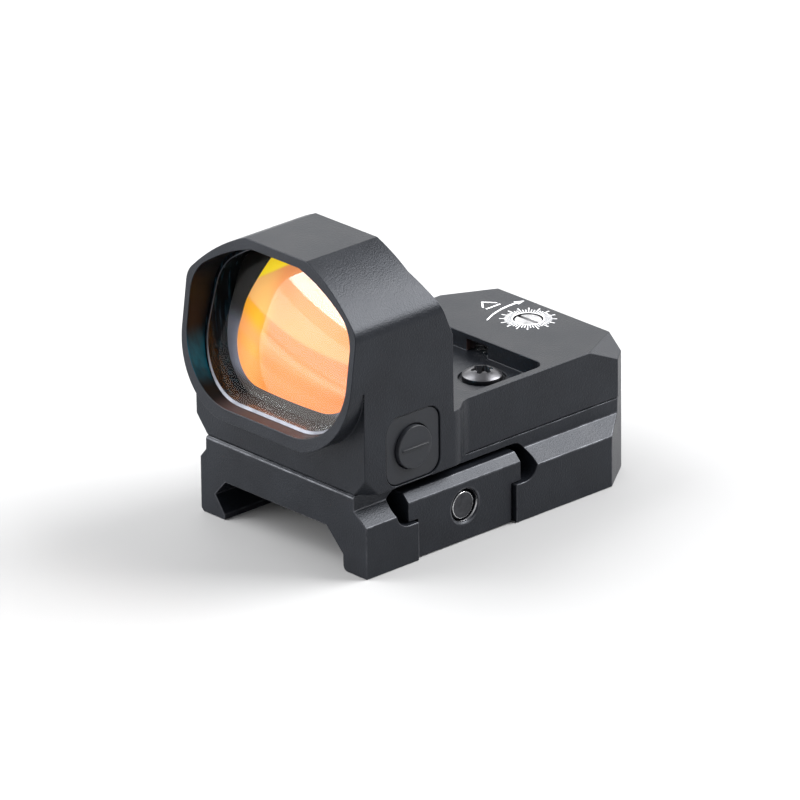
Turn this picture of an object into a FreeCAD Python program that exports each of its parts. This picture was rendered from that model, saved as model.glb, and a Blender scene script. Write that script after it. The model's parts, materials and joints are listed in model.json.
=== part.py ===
"""Open reflex red dot sight on a low rail clamp, built as one parametric document.

Row frame, millimetres: +Z is up, the lens faces -Y, +X is the side of the sliding jaw.
The origin lies on the rail seat, on the rail's centre plane, at the cross bolt's station.
"""
import FreeCAD, Part
import math
import os
import Sketcher

Vector = FreeCAD.Vector
Rotation = FreeCAD.Rotation
Placement = FreeCAD.Placement

DIMENSIONS = {
    # rail base
    "base_front": -16.0, "base_rear": 28.2, "base_bottom": -4.8, "seam": 5.0,
    "body_half": 12.7, "jaw_side": 14.8, "fixed_side": 13.7, "front_edge": 0.3,
    "shoulder_jaw_low": 1.6, "shoulder_jaw_high": 3.2,
    "shoulder_fixed_low": 2.1, "shoulder_fixed_high": 3.3,
    "rail_tip_half": 10.75, "claw_apex": 11.2, "claw_apex_z": -2.0, "claw_tip": 9.6,
    "claw_tip_z": -4.1, "seat_fixed": 9.4, "seat_jaw": 7.95,
    "rear_chamfer_start": 23.2, "rear_chamfer_side": 11.2,
    # clamp
    "bolt_z": -0.45, "bolt_radius": 1.95, "bolt_clear": 2.03, "jaw_thread": 2.0,
    "bolt_head_radius": 3.5, "bolt_head_thick": 2.4, "bolt_tip": 13.95, "hex_across": 3.0,
    "washer_radius": 4.0, "washer_thick": 0.6,
    "jaw_face": 14.3, "jaw_back": 9.3, "jaw_bottom": -4.7, "jaw_top": 3.5, "jaw_chamfer": 1.0,
    "jaw_step": 0.15, "jaw_wing_half": 8.9, "jaw_stem_half": 7.4, "jaw_hook": 9.2,
    "slot_back": 8.7, "slot_low": 0.0, "slot_high": 4.1, "slot_wing_half": 11.2,
    "slot_stem_half": 7.75,
    # hood
    "hood_front": -15.8, "hood_rear": -1.8, "hood_half": 14.45, "hood_top": 31.83,
    "hood_flat_half": 5.2, "crown_radius": 24.7, "crown_end": 13.6, "crown_end_z": 26.3,
    "shoulder_radius": 2.55, "shoulder_end_z": 24.4,
    "foot_facet_z": 7.3, "foot_facet_in": 12.5, "foot_facet_back": -13.6,
    "collar_front": -21.0, "collar_bottom": 9.65, "collar_flat_half": 7.0,
    "collar_corner_z": 18.8, "collar_corner_radius": 9.34,
    "collar_plane_y": -20.455, "collar_slope": 0.141,
    "slope_start_z": 21.5, "slope_end_z": 29.0, "slope_end": -4.9, "hood_tail": 2.4,
    "tail_radius": 2.96,
    # hood opening
    "open_bottom": 11.15, "open_bottom_half": 5.35, "open_half": 13.55, "open_side_low": 19.35,
    "open_side_high": 23.2, "open_corner_radius": 8.2, "open_shoulder": 11.9,
    "open_shoulder_z": 26.9, "open_shoulder_radius": 4.97, "open_top": 30.7,
    "open_top_half": 4.0, "open_crown_radius": 24.0, "ledge": 0.9,
    # lens, whose planes lean back by lens_slope
    "lens_slope": 0.3, "lens_front_y": -20.4, "lens_rear_y": -15.4, "lens_inset": 0.35,
    "bezel_thick": 0.35, "bezel_width": 0.8, "coat_radius": 60.0, "coat_depth": 1.6,
    # deck
    "deck_top": 11.98, "deck_rear": 27.9, "deck_chamfer_start": 26.2, "deck_chamfer_side": 11.5,
    "corner_start": 21.5, "corner_end": 9.5, "corner_low": 9.85,
    "pocket_half": 11.6, "pocket_front": 3.2, "pocket_rear": 15.5, "pocket_floor": 9.8,
    "pocket_radius": 1.5,
    # mounting screws and locating pins
    "screw_x": 5.3, "screw_y": 11.3, "screw_radius": 1.5, "screw_head_radius": 2.4,
    "screw_seat": 9.4, "screw_rim": 10.15, "screw_crown": 10.95, "screw_end": 0.9,
    "torx_radius": 1.35, "counterbore": 2.85,
    "pin_x": 11.5, "pin_front": -14.0, "pin_rear": 19.5, "pin_radius": 0.75, "pin_low": 2.6,
    "pin_high": 6.6,
    # battery and electronics
    "cell_y": -3.8, "cell_radius": 10.0, "cell_low": 5.7, "cell_high": 8.9, "bay_radius": 10.3,
    "bay_top": 9.2, "gasket_inner": 10.8, "gasket_outer": 11.4, "gasket_thick": 0.5,
    "board_half": 10.1, "board_front": 8.4, "board_rear": 26.3, "cover_low": 5.05,
    "cover_thick": 0.5, "board_low": 5.75, "board_thick": 0.8, "recess_top": 6.7,
    "recess_gap": 0.15,
    # emitter mechanism
    "cave_left": -9.2, "cave_right": 6.45, "cave_front": 17.0, "cave_rear": 26.2,
    "cave_top": 9.9, "slider_half": 6.0, "slider_front": 17.1, "slider_rear": 26.1,
    "slider_low": 7.0, "slider_high": 9.4, "window_half": 3.65, "window_front": 18.2,
    "window_rear": 25.2, "carriage_half": 3.35, "carriage_front": 18.3, "carriage_rear": 25.1,
    "carriage_low": 7.3, "carriage_high": 9.0, "carriage_play": 0.3, "tower_half": 1.5, "tower_rear": 20.0,
    "tower_high": 10.95, "tower_cave_half": 2.3, "tower_cave_rear": 20.5,
    "tower_cave_high": 11.35, "port_half": 1.75, "port_high": 11.3,
    "led_size": 1.2, "led_depth": 0.5, "led_z": 10.3, "glass_y": 16.0, "glass_thick": 0.4,
    # adjusters
    "adjuster_head": 1.68, "adjuster_bore": 1.75, "adjuster_thread": 0.78,
    "adjuster_clear": 0.85, "adjuster_slot": 0.5, "adjuster_slot_deep": 0.45,
    "elevation_y": 23.8, "elevation_top": 11.9, "elevation_shoulder": 10.6,
    "elevation_end": 7.15, "windage_y": 21.7, "windage_z": 8.2, "windage_face": -12.6,
    "windage_shoulder": -11.3, "windage_end": -3.95, "ring_groove": 1.2, "ring_major": 1.46,
    "ring_minor": 0.24, "coil_radius": 1.25, "coil_wire": 0.2, "spring_well": 1.65,
    "spring_well_deep": 0.8,
    # buttons
    "button_y": -8.2, "button_z": 9.5, "button_radius": 2.6, "button_out": 14.8,
    "button_back": 12.8, "flange_radius": 2.95, "flange_front": 13.25, "pad_half": 4.25,
    "pad_round": 1.9, "pad_face": 14.3, "pad_back": 13.45, "switch_radius": 3.1,
    "switch_bore_back": 11.7, "switch_board": 0.4, "dome_radius": 2.2, "dome_high": 0.45,
}

doc = FreeCAD.newDocument("red_dot_sight")
sheet = doc.addObject("Spreadsheet::Sheet", "Dims")


def fill_sheet():
    """Write every driving dimension as a plain number with its alias."""
    for row, (alias, value) in enumerate(DIMENSIONS.items(), start=1):
        sheet.set("A%d" % row, alias)
        sheet.set("B%d" % row, str(value))
        sheet.setAlias("B%d" % row, alias)
    doc.recompute()


class Size:
    """A length that knows both its value and its spreadsheet expression."""

    def __init__(self, value, text):
        self.value = float(value)
        self.text = text

    def __add__(self, other):
        other = as_size(other)
        return Size(self.value + other.value, "(%s + %s)" % (self.text, other.text))

    def __sub__(self, other):
        other = as_size(other)
        return Size(self.value - other.value, "(%s - %s)" % (self.text, other.text))

    def __mul__(self, other):
        other = as_size(other)
        return Size(self.value * other.value, "(%s * %s)" % (self.text, other.text))

    def __truediv__(self, other):
        other = as_size(other)
        return Size(self.value / other.value, "(%s / %s)" % (self.text, other.text))

    def __neg__(self):
        return Size(-self.value, "(-1 * %s)" % self.text)


def as_size(value):
    """Take a Size as it is, and a bare number as a constant."""
    if isinstance(value, Size):
        return value
    return Size(value, "(%r)" % float(value))


def dim(alias):
    """The driving dimension with this alias."""
    return Size(sheet.get(alias), "Dims.%s" % alias)


def bind(thing, prop, size):
    """Set a property and tie it to its spreadsheet expression."""
    thing.setExpression(prop, as_size(size).text)


# ---------------------------------------------------------------- building blocks

PLANES = {
    "XY": (Rotation(), "z"),
    "XZ": (Rotation(Vector(1, 0, 0), 90), "y"),
    "YZ": (Rotation(Vector(1, 1, 1), 120), "x"),
}


def arc_middle(start, end, radius):
    """Middle point of the arc from start to end; a positive radius bulges to the right."""
    chord = end - start
    half = chord.Length / 2
    size = abs(radius)
    sag = size - math.sqrt(max(size * size - half * half, 0.0))
    side = Vector(chord.y, -chord.x, 0).normalize() * (1 if radius > 0 else -1)
    return start + chord * 0.5 + side * sag


def draw_outline(sketch, corners):
    """Closed outline through corners (u, v) or (u, v, radius of the arc that arrives there)."""
    points = [Vector(as_size(c[0]).value, as_size(c[1]).value, 0) for c in corners]
    count = len(corners)
    for index, corner in enumerate(corners):
        start = points[index - 1]
        end = points[index]
        if len(corner) == 3:
            radius = as_size(corner[2]).value
            middle = arc_middle(start, end, radius)
            first, last = (start, end) if radius > 0 else (end, start)  # always anticlockwise
            sketch.addGeometry(Part.ArcOfCircle(first, middle, last), False)
        else:
            sketch.addGeometry(Part.LineSegment(start, end), False)
    ends = [end_positions(sketch, index, points[index]) for index in range(count)]
    for index in range(count):
        following = (index + 1) % count
        sketch.addConstraint(Sketcher.Constraint(
            "Coincident", index, ends[index][1], following, ends[following][0]))
    for index, corner in enumerate(corners):
        for kind, value in (("DistanceX", corner[0]), ("DistanceY", corner[1])):
            size = as_size(value)
            number = sketch.addConstraint(Sketcher.Constraint(
                kind, -1, 1, index, ends[index][1], size.value))
            sketch.setExpression("Constraints[%d]" % number, size.text)
        if len(corner) == 3:
            size = as_size(corner[2])
            number = sketch.addConstraint(Sketcher.Constraint("Radius", index, abs(size.value)))
            sketch.setExpression("Constraints[%d]" % number, "abs(%s)" % size.text)


def end_positions(sketch, index, end):
    """Which ends of a piece of outline start it and finish it, as Sketcher numbers them."""
    geometry = sketch.Geometry[index]
    if (geometry.EndPoint - end).Length < (geometry.StartPoint - end).Length:
        return 1, 2
    return 2, 1


def prism(name, plane, corners, low, high):
    """Solid with this outline, from low to high along the plane's normal axis."""
    rotation, axis = PLANES[plane]
    low = as_size(low)
    high = as_size(high)
    seat = high if plane == "XZ" else low
    sketch = doc.addObject("Sketcher::SketchObject", name + "_outline")
    draw_outline(sketch, corners)
    sketch.Placement = Placement(Vector(), rotation)
    bind(sketch, "Placement.Base." + axis, seat)
    solid = doc.addObject("Part::Extrusion", name)
    solid.Base = sketch
    solid.DirMode = "Normal"
    bind(solid, "LengthFwd", high - low)
    solid.Solid = True
    return solid


def box(name, x, y, z):
    """Box between pairs of limits."""
    solid = doc.addObject("Part::Box", name)
    for prop, axis, (low, high) in (("Length", "x", x), ("Width", "y", y), ("Height", "z", z)):
        bind(solid, prop, as_size(high) - low)
        bind(solid, "Placement.Base." + axis, low)
    return solid


AXIS_TURNS = {"z": Rotation(), "x": Rotation(Vector(0, 1, 0), 90),
              "y": Rotation(Vector(1, 0, 0), -90)}


def place(solid, axis, centre, low):
    """Stand a round primitive on its axis, at centre (two coordinates) and low along it."""
    across = [letter for letter in "xyz" if letter != axis]
    solid.Placement = Placement(Vector(), AXIS_TURNS[axis])
    bind(solid, "Placement.Base." + axis, low)
    bind(solid, "Placement.Base." + across[0], centre[0])
    bind(solid, "Placement.Base." + across[1], centre[1])


def rod(name, axis, centre, low, high, radius):
    """Cylinder along an axis, between two places on it."""
    solid = doc.addObject("Part::Cylinder", name)
    bind(solid, "Radius", radius)
    bind(solid, "Height", as_size(high) - low)
    place(solid, axis, centre, low)
    return solid


def cone(name, axis, centre, low, high, radius_low, radius_high):
    """Cone frustum along an axis."""
    solid = doc.addObject("Part::Cone", name)
    bind(solid, "Radius1", radius_low)
    bind(solid, "Radius2", radius_high)
    bind(solid, "Height", as_size(high) - low)
    place(solid, axis, centre, low)
    return solid


def torus(name, axis, centre, middle, major, minor):
    """Ring around an axis."""
    solid = doc.addObject("Part::Torus", name)
    bind(solid, "Radius1", major)
    bind(solid, "Radius2", minor)
    place(solid, axis, centre, middle)
    return solid


def join(name, pieces):
    """One solid from overlapping pieces."""
    result = doc.addObject("Part::MultiFuse", name)
    result.Shapes = pieces
    result.Refine = True
    return result


def cut(name, base, tools):
    """Take the tools away from the base."""
    tool = tools[0]
    if len(tools) > 1:
        tool = doc.addObject("Part::MultiFuse", name + "_tools")
        tool.Shapes = tools
    result = doc.addObject("Part::Cut", name)
    result.Base = base
    result.Tool = tool
    result.Refine = True
    return result


def common(name, first, second):
    """What two solids share."""
    result = doc.addObject("Part::Common", name)
    result.Base = first
    result.Tool = second
    return result


def rounded(x, y, radius):
    """Rounded rectangle as outline corners, anticlockwise."""
    low_x, high_x = as_size(x[0]), as_size(x[1])
    low_y, high_y = as_size(y[0]), as_size(y[1])
    return [
        (high_x - radius, low_y), (high_x, low_y + radius, radius),
        (high_x, high_y - radius), (high_x - radius, high_y, radius),
        (low_x + radius, high_y), (low_x, high_y - radius, radius),
        (low_x, low_y + radius), (low_x + radius, low_y, radius),
    ]


SUBPARTS = []


def finish_subpart(solid, label):
    """Give a finished piece the label that names its file."""
    solid.Label = label
    SUBPARTS.append(solid)
    return solid


# ---------------------------------------------------------------- PartDesign helpers

def origin_plane(body, role):
    """One of a body's own origin planes."""
    return [feature for feature in body.Origin.OriginFeatures if feature.Role == role][0]


def new_body(name):
    """Body that will hold one turned or milled piece."""
    return doc.addObject("PartDesign::Body", name)


def body_sketch(body, name, role, offset, corners):
    """Sketch on an origin plane of the body, lifted by offset along the plane's normal."""
    sketch = body.newObject("Sketcher::SketchObject", name)
    sketch.AttachmentSupport = [(origin_plane(body, role), "")]
    sketch.MapMode = "FlatFace"
    bind(sketch, ".AttachmentOffset.Base.z", offset)
    draw_outline(sketch, corners)
    return sketch


def pad(body, name, sketch, length):
    """Pad along the sketch's normal."""
    feature = body.newObject("PartDesign::Pad", name)
    feature.Profile = sketch
    bind(feature, "Length", length)
    return feature


def pocket(body, name, sketch, depth, reverse=False):
    """Pocket against the sketch's normal, or along it when reversed."""
    feature = body.newObject("PartDesign::Pocket", name)
    feature.Profile = sketch
    feature.Reversed = reverse
    bind(feature, "Length", depth)
    return feature


def turned(body, name, role, corners, axis_name):
    """Revolution of a half section about one of the sketch's own axes."""
    sketch = body_sketch(body, name + "_section", role, 0, corners)
    feature = body.newObject("PartDesign::Revolution", name)
    feature.Profile = sketch
    feature.ReferenceAxis = (sketch, [axis_name])
    feature.Angle = 360
    return feature


def polygon(across_flats, sides):
    """Regular polygon outline about the origin."""
    across = as_size(across_flats)
    reach = across * (0.5 / math.cos(math.pi / sides))
    corners = []
    for index in range(sides):
        angle = 2 * math.pi * index / sides
        corners.append((reach * math.cos(angle), reach * math.sin(angle)))
    return corners


# ---------------------------------------------------------------- rail base and clamp

def rail_base():
    """Milled block with the fixed claw, the rail channel and the T slot for the jaw."""
    profile = [
        (-dim("body_half"), dim("seam")),
        (-dim("body_half"), dim("shoulder_fixed_high")),
        (-dim("fixed_side"), dim("shoulder_fixed_low")),
        (-dim("fixed_side"), dim("base_bottom") + 0.4),
        (-dim("fixed_side") + 0.4, dim("base_bottom")),
        (-dim("claw_tip"), dim("base_bottom")),
        (-dim("claw_tip"), dim("claw_tip_z")),
        (-dim("claw_apex"), dim("claw_apex_z")),
        (-dim("seat_fixed"), 0),
        (dim("seat_jaw"), 0),
        (dim("rail_tip_half"), dim("seat_jaw") - dim("rail_tip_half")),
        (dim("rail_tip_half"), dim("base_bottom") + 0.7),
        (dim("rail_tip_half") + 0.7, dim("base_bottom"), 0.7),
        (dim("jaw_side"), dim("base_bottom")),
        (dim("jaw_side"), dim("shoulder_jaw_low")),
        (dim("body_half"), dim("shoulder_jaw_high")),
        (dim("body_half"), dim("seam")),
    ]
    block = prism("base_block", "XZ", profile, dim("base_front"), dim("base_rear"))
    far = dim("base_rear") + 1
    start = dim("rear_chamfer_start")
    side = dim("jaw_side")
    inner = dim("rear_chamfer_side")
    corner_cuts = []
    for sign, tag in ((1, "jaw"), (-1, "fixed")):
        edge = side * sign
        corner = [(edge, start), (edge * 1.1, start), (edge * 1.1, far), (inner * sign, far),
                  (inner * sign, dim("base_rear"))]
        if sign < 0:
            corner.reverse()
        corner_cuts.append(prism("base_corner_" + tag, "XY", corner,
                                 dim("base_bottom") - 1, dim("seam") + 1))
    wing = dim("slot_wing_half")
    middle = (dim("slot_high") + dim("slot_low")) / 2
    reach = (dim("slot_high") - dim("slot_low")) / 2
    wing_slot = prism("slot_wings", "YZ", [
        (wing - reach, dim("slot_low")), (wing, middle, reach), (wing - reach, dim("slot_high"), reach),
        (reach - wing, dim("slot_high")), (-wing, middle, reach), (reach - wing, dim("slot_low"), reach),
    ], dim("slot_back"), side + 1)
    stem = dim("slot_stem_half")
    stem_slot = box("slot_stem", (dim("seat_jaw"), side + 1), (-stem, stem),
                    (dim("base_bottom") - 1, dim("slot_low") + 0.5))
    bolt = (0, dim("bolt_z"))
    bolt_hole = rod("base_bolt_hole", "x", bolt, -dim("fixed_side") - 1, side, dim("bolt_clear"))
    head_seat = rod("base_head_seat", "x", bolt, -dim("fixed_side") - 1,
                    -dim("fixed_side") + 0.5, dim("washer_radius") + 0.2)
    edge = dim("front_edge")
    front_edge = prism("base_front_edge", "YZ", [
        (dim("base_front") - edge, dim("seam") - edge), (dim("base_front"), dim("seam") - edge),
        (dim("base_front") + edge, dim("seam")), (dim("base_front") - edge, dim("seam")),
    ], -dim("body_half") - 1, dim("body_half") + 1)
    tools = corner_cuts + [wing_slot, stem_slot, bolt_hole, head_seat, front_edge]
    for sign, tag in ((1, "left"), (-1, "right")):
        tools.append(rod("base_screw_hole_" + tag, "z", (dim("screw_x") * sign, dim("screw_y")),
                         dim("screw_end") - 0.2, dim("seam") + 1, dim("screw_radius")))
        for y, place_name in (("pin_front", "front"), ("pin_rear", "rear")):
            tools.append(rod("base_pin_hole_%s_%s" % (tag, place_name), "z",
                             (dim("pin_x") * sign, dim(y)), dim("pin_low"), dim("seam") + 1,
                             dim("pin_radius")))
    finish_subpart(cut("rail_base_solid", block, tools), "rail_base")


def clamp_jaw():
    """T shaped jaw: wings above the rail, hooked stem beside it, tapped for the bolt."""
    face = dim("jaw_face")
    top = dim("jaw_top")
    wing_profile = [
        (dim("jaw_back"), dim("jaw_step")), (face, dim("jaw_step")), (face, top - dim("jaw_chamfer")),
        (face - dim("jaw_chamfer"), top), (dim("jaw_back"), top),
    ]
    wings = prism("jaw_wings", "XZ", wing_profile, -dim("jaw_wing_half"), dim("jaw_wing_half"))
    hook = dim("jaw_hook")
    apex = hook + 1.7
    stem_profile = [
        (hook, dim("jaw_bottom")), (face, dim("jaw_bottom")), (face, dim("jaw_step") + 0.5),
        (dim("jaw_back"), dim("jaw_step") + 0.5), (dim("jaw_back"), -1.0),
        (apex, -2.6), (hook, -4.3),
    ]
    stem = prism("jaw_stem", "XZ", stem_profile, -dim("jaw_stem_half"), dim("jaw_stem_half"))
    bolt = (0, dim("bolt_z"))
    thread = rod("jaw_thread_hole", "x", bolt, dim("jaw_back") - 2, face + 1, dim("jaw_thread"))
    lead = cone("jaw_thread_lead", "x", bolt, face - 0.25, face + 0.05, dim("jaw_thread"),
                dim("jaw_thread") + 0.3)
    blank = join("jaw_blank", [wings, stem])
    finish_subpart(cut("clamp_jaw_solid", blank, [thread, lead]), "clamp_jaw")


def cross_bolt():
    """Cross bolt, turned along X, with a hexagon socket in its head."""
    body = new_body("cross_bolt_body")
    head_back = -dim("fixed_side") - dim("bolt_head_thick") - dim("washer_thick") + 0.5
    head_front = -dim("fixed_side") - dim("washer_thick") + 0.45
    shaft = dim("bolt_radius")
    head = dim("bolt_head_radius")
    tip = dim("bolt_tip")
    half_section = [
        (head_back, 0), (tip, 0), (tip, shaft - 0.35), (tip - 0.5, shaft), (head_front, shaft),
        (head_front, head), (head_back + 0.4, head), (head_back, head - 0.4),
    ]
    turned(body, "bolt_turned", "XZ_Plane", half_section, "H_Axis")
    socket = body_sketch(body, "bolt_socket_outline", "YZ_Plane", head_back,
                         polygon(dim("hex_across"), 6))
    pocket(body, "bolt_socket", socket, 1.6, reverse=True)
    bind(body, "Placement.Base.z", dim("bolt_z"))
    finish_subpart(body, "cross_bolt")


def bolt_washer():
    """Flat washer between the bolt head and the base."""
    bolt = (0, dim("bolt_z"))
    inner = -dim("fixed_side") + 0.5
    disc = rod("washer_disc", "x", bolt, inner - dim("washer_thick"), inner, dim("washer_radius"))
    hole = rod("washer_hole", "x", bolt, inner - 2, inner + 1, dim("bolt_clear"))
    finish_subpart(cut("bolt_washer_solid", disc, [hole]), "bolt_washer")


def locating_pins():
    """Four pins that place the sight on the base."""
    pins = []
    for x, x_name in ((dim("pin_x"), "left"), (-dim("pin_x"), "right")):
        for y, y_name in ((dim("pin_front"), "front"), (dim("pin_rear"), "rear")):
            pins.append(rod("pin_%s_%s" % (x_name, y_name), "z", (x, y), dim("pin_low"),
                            dim("pin_high"), dim("pin_radius")))
    group = doc.addObject("Part::Compound", "locating_pins_group")
    group.Links = pins
    finish_subpart(group, "locating_pins")


# ---------------------------------------------------------------- sight housing

def crown(half_top, top, crown_end, crown_z, crown_radius, side, side_z, side_radius):
    """Right half of the hood's upper outline, from the side up to the flat top."""
    return [(side, side_z), (crown_end, crown_z, side_radius), (half_top, top, crown_radius)]


def mirrored(right_half):
    """Close a right half outline, given anticlockwise from bottom to top, with its mirror."""
    left = []
    for index in range(len(right_half) - 1, -1, -1):
        corner = right_half[index]
        following = right_half[index + 1] if index + 1 < len(right_half) else corner
        radius = following[2:] if index + 1 < len(right_half) else ()
        left.append((-as_size(corner[0]), corner[1]) + radius)
    return list(right_half) + left


def hood_crown():
    """Outer shoulder and crown of the hood."""
    return crown(dim("hood_flat_half"), dim("hood_top"), dim("crown_end"), dim("crown_end_z"),
                 dim("crown_radius"), dim("hood_half"), dim("shoulder_end_z"),
                 dim("shoulder_radius"))


def hood_block():
    """Upright hood block down to the seam, wider than the base it stands on."""
    right = [(dim("hood_half"), dim("seam"))] + hood_crown()
    return prism("hood_block", "XZ", mirrored(right), dim("hood_front"), dim("hood_rear"))


def leaning_slab(name, base_y, slope, behind):
    """Big wedge whose one face is the plane y = base_y + slope * z, on one side of it."""
    far = 60.0 if behind else -60.0
    low, high = -10.0, 50.0
    corners = [(base_y + slope * low, low), (as_size(far), low), (as_size(far), high),
               (base_y + slope * high, high)]
    if not behind:
        corners.reverse()
    return prism(name, "YZ", corners, -30, 30)


def hood_collar():
    """Leaning front collar around the lens opening."""
    right = [(dim("collar_flat_half"), dim("collar_bottom")),
             (dim("hood_half"), dim("collar_corner_z"), dim("collar_corner_radius"))] + hood_crown()
    rough = prism("collar_block", "XZ", mirrored(right), dim("collar_front"),
                  dim("hood_front") + 0.5)
    front = leaning_slab("collar_face", dim("collar_plane_y"), dim("collar_slope"), True)
    return common("hood_collar", rough, front)


def opening_outline(inset):
    """Lens opening, moved inwards by inset."""
    inset = as_size(inset)
    right = [
        (dim("open_bottom_half"), dim("open_bottom") + inset),
        (dim("open_half") - inset, dim("open_side_low"), dim("open_corner_radius") - inset),
        (dim("open_half") - inset, dim("open_side_high")),
        (dim("open_shoulder") - inset * 0.67, dim("open_shoulder_z") - inset * 0.74,
         dim("open_shoulder_radius") - inset),
        (dim("open_top_half") - inset * 0.26, dim("open_top") - inset * 0.97,
         dim("open_crown_radius") - inset),
    ]
    return mirrored(right)


def opening_prism(name, inset, front_y, rear_y, slope):
    """Block with the opening's outline between two planes that lean by slope."""
    rough = prism(name + "_rough", "XZ", opening_outline(inset), -30, 10)
    if front_y is not None:
        behind = leaning_slab(name + "_behind", front_y, slope, True)
        rough = common(name + "_front", rough, behind)
    if rear_y is not None:
        ahead = leaning_slab(name + "_ahead", rear_y, slope, False)
        rough = common(name + "_rear", rough, ahead)
    return rough


def deck_block():
    """Low body behind the hood, with its rear corners cut."""
    half = dim("body_half")
    front = dim("hood_rear") - 1
    outline = [
        (half, front), (half, dim("deck_chamfer_start")),
        (dim("deck_chamfer_side"), dim("deck_rear")), (-dim("deck_chamfer_side"), dim("deck_rear")),
        (-half, dim("deck_chamfer_start")), (-half, front),
    ]
    return prism("deck_block", "XY", outline, dim("seam"), dim("deck_top"))


def hood_tail():
    """Hood's sides drawn in to the deck's sides by a convex and then a concave round."""
    half, narrow = dim("hood_half"), dim("body_half")
    start, end, round_off = dim("hood_rear"), dim("hood_tail"), dim("tail_radius")
    middle = (half + narrow) / 2
    halfway = (start + end) / 2
    outline = [
        (half, start - 1), (half, start), (middle, halfway, round_off), (narrow, end, -round_off),
        (-narrow, end), (-middle, halfway, -round_off), (-half, start, round_off),
        (-half, start - 1),
    ]
    return prism("hood_tail", "XY", outline, dim("seam"), dim("deck_top"))


def slicing_tool(name, first, second, third, outward):
    """Big block that slices off all that lies beyond the plane of three corners."""
    points = [Vector(*[as_size(value).value for value in corner])
              for corner in (first, second, third)]
    normal = (points[1] - points[0]).cross(points[2] - points[0]).normalize()
    if normal.dot(outward) < 0:
        normal = normal * -1
    reach = 20.0
    tool = doc.addObject("Part::Box", name)
    tool.Length = reach * 2
    tool.Width = reach * 2
    tool.Height = reach
    turn = Rotation(Vector(0, 0, 1), normal)
    tool.Placement = Placement(points[0] - turn.multVec(Vector(reach, reach, 0)), turn)
    return tool


def facets(sign, tag):
    """Slanted facets on one rear corner of the deck and on one front foot of the hood."""
    side = dim("body_half") * sign
    deck = slicing_tool(
        "deck_facet_" + tag, (side, dim("corner_start"), dim("deck_top")),
        (dim("corner_end") * sign, dim("deck_rear"), dim("deck_top")),
        (side, dim("deck_chamfer_start"), dim("corner_low")), Vector(sign, 1, 1))
    flank = dim("hood_half") * sign
    foot = slicing_tool(
        "foot_facet_" + tag, (flank, dim("hood_front"), dim("foot_facet_z")),
        (dim("foot_facet_in") * sign, dim("hood_front"), dim("seam")),
        (flank, dim("foot_facet_back"), dim("seam")), Vector(sign, -1, -1))
    return [deck, foot]


def rear_slope():
    """Tool that leans the upper rear of the hood forwards."""
    tail = dim("hood_tail") + 1
    return prism("hood_rear_slope", "YZ", [
        (dim("hood_rear"), dim("slope_start_z")), (tail, dim("slope_start_z")),
        (tail, dim("hood_top") + 1), (dim("slope_end"), dim("hood_top") + 1),
        (dim("slope_end"), dim("slope_end_z")),
    ], -20, 20)


def button_tools(sign, tag):
    """Pad recess and switch bore in one side of the hood."""
    y, z = dim("button_y"), dim("button_z")
    half = dim("pad_half")
    low, high = dim("pad_back"), dim("hood_half") + 1
    inner, outer = dim("switch_bore_back"), dim("hood_half")
    if sign < 0:
        low, high = -high, -low
        inner, outer = -outer, -inner
    outline = rounded((y - half, y + half), (z - half, z + half), dim("pad_round"))
    recess = prism("pad_recess_" + tag, "YZ", outline, low, high)
    bore = rod("switch_bore_" + tag, "x", (y, z), inner, outer, dim("switch_radius"))
    return [recess, bore]


def fastener_tools():
    """Screw holes with counterbores and blind pin holes."""
    tools = []
    for sign, tag in ((1, "left"), (-1, "right")):
        centre = (dim("screw_x") * sign, dim("screw_y"))
        tools.append(rod("screw_hole_" + tag, "z", centre, dim("seam") - 1, dim("deck_top"),
                         dim("screw_radius") + 0.1))
        tools.append(rod("counterbore_" + tag, "z", centre, dim("screw_seat"), dim("deck_top"),
                         dim("counterbore")))
        for y, place_name in (("pin_front", "front"), ("pin_rear", "rear")):
            tools.append(rod("pin_hole_%s_%s" % (tag, place_name), "z",
                             (dim("pin_x") * sign, dim(y)), dim("seam") - 1,
                             dim("pin_high") + 0.2, dim("pin_radius") + 0.05))
    return tools


def bay_tools():
    """Battery bay, gasket groove, electronics recess and the wire duct between them."""
    centre = (0, dim("cell_y"))
    seam = dim("seam")
    bay = rod("battery_bay", "z", centre, seam - 1, dim("bay_top"), dim("bay_radius"))
    outer = rod("groove_outer", "z", centre, seam - 1, seam + dim("gasket_thick"),
                dim("gasket_outer"))
    inner = rod("groove_inner", "z", centre, seam - 2, seam + dim("gasket_thick") + 1,
                dim("gasket_inner"))
    groove = cut("gasket_groove", outer, [inner])
    gap = dim("recess_gap")
    recess = box("board_recess", (-dim("board_half") - gap, dim("board_half") + gap),
                 (dim("board_front") - gap, dim("board_rear") + gap), (seam - 1, dim("recess_top")))
    duct = box("wire_duct", (-2, 2), (5.5, dim("board_front")), (seam + 0.8, dim("recess_top") - 0.2))
    return [bay, groove, recess, duct]


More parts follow.
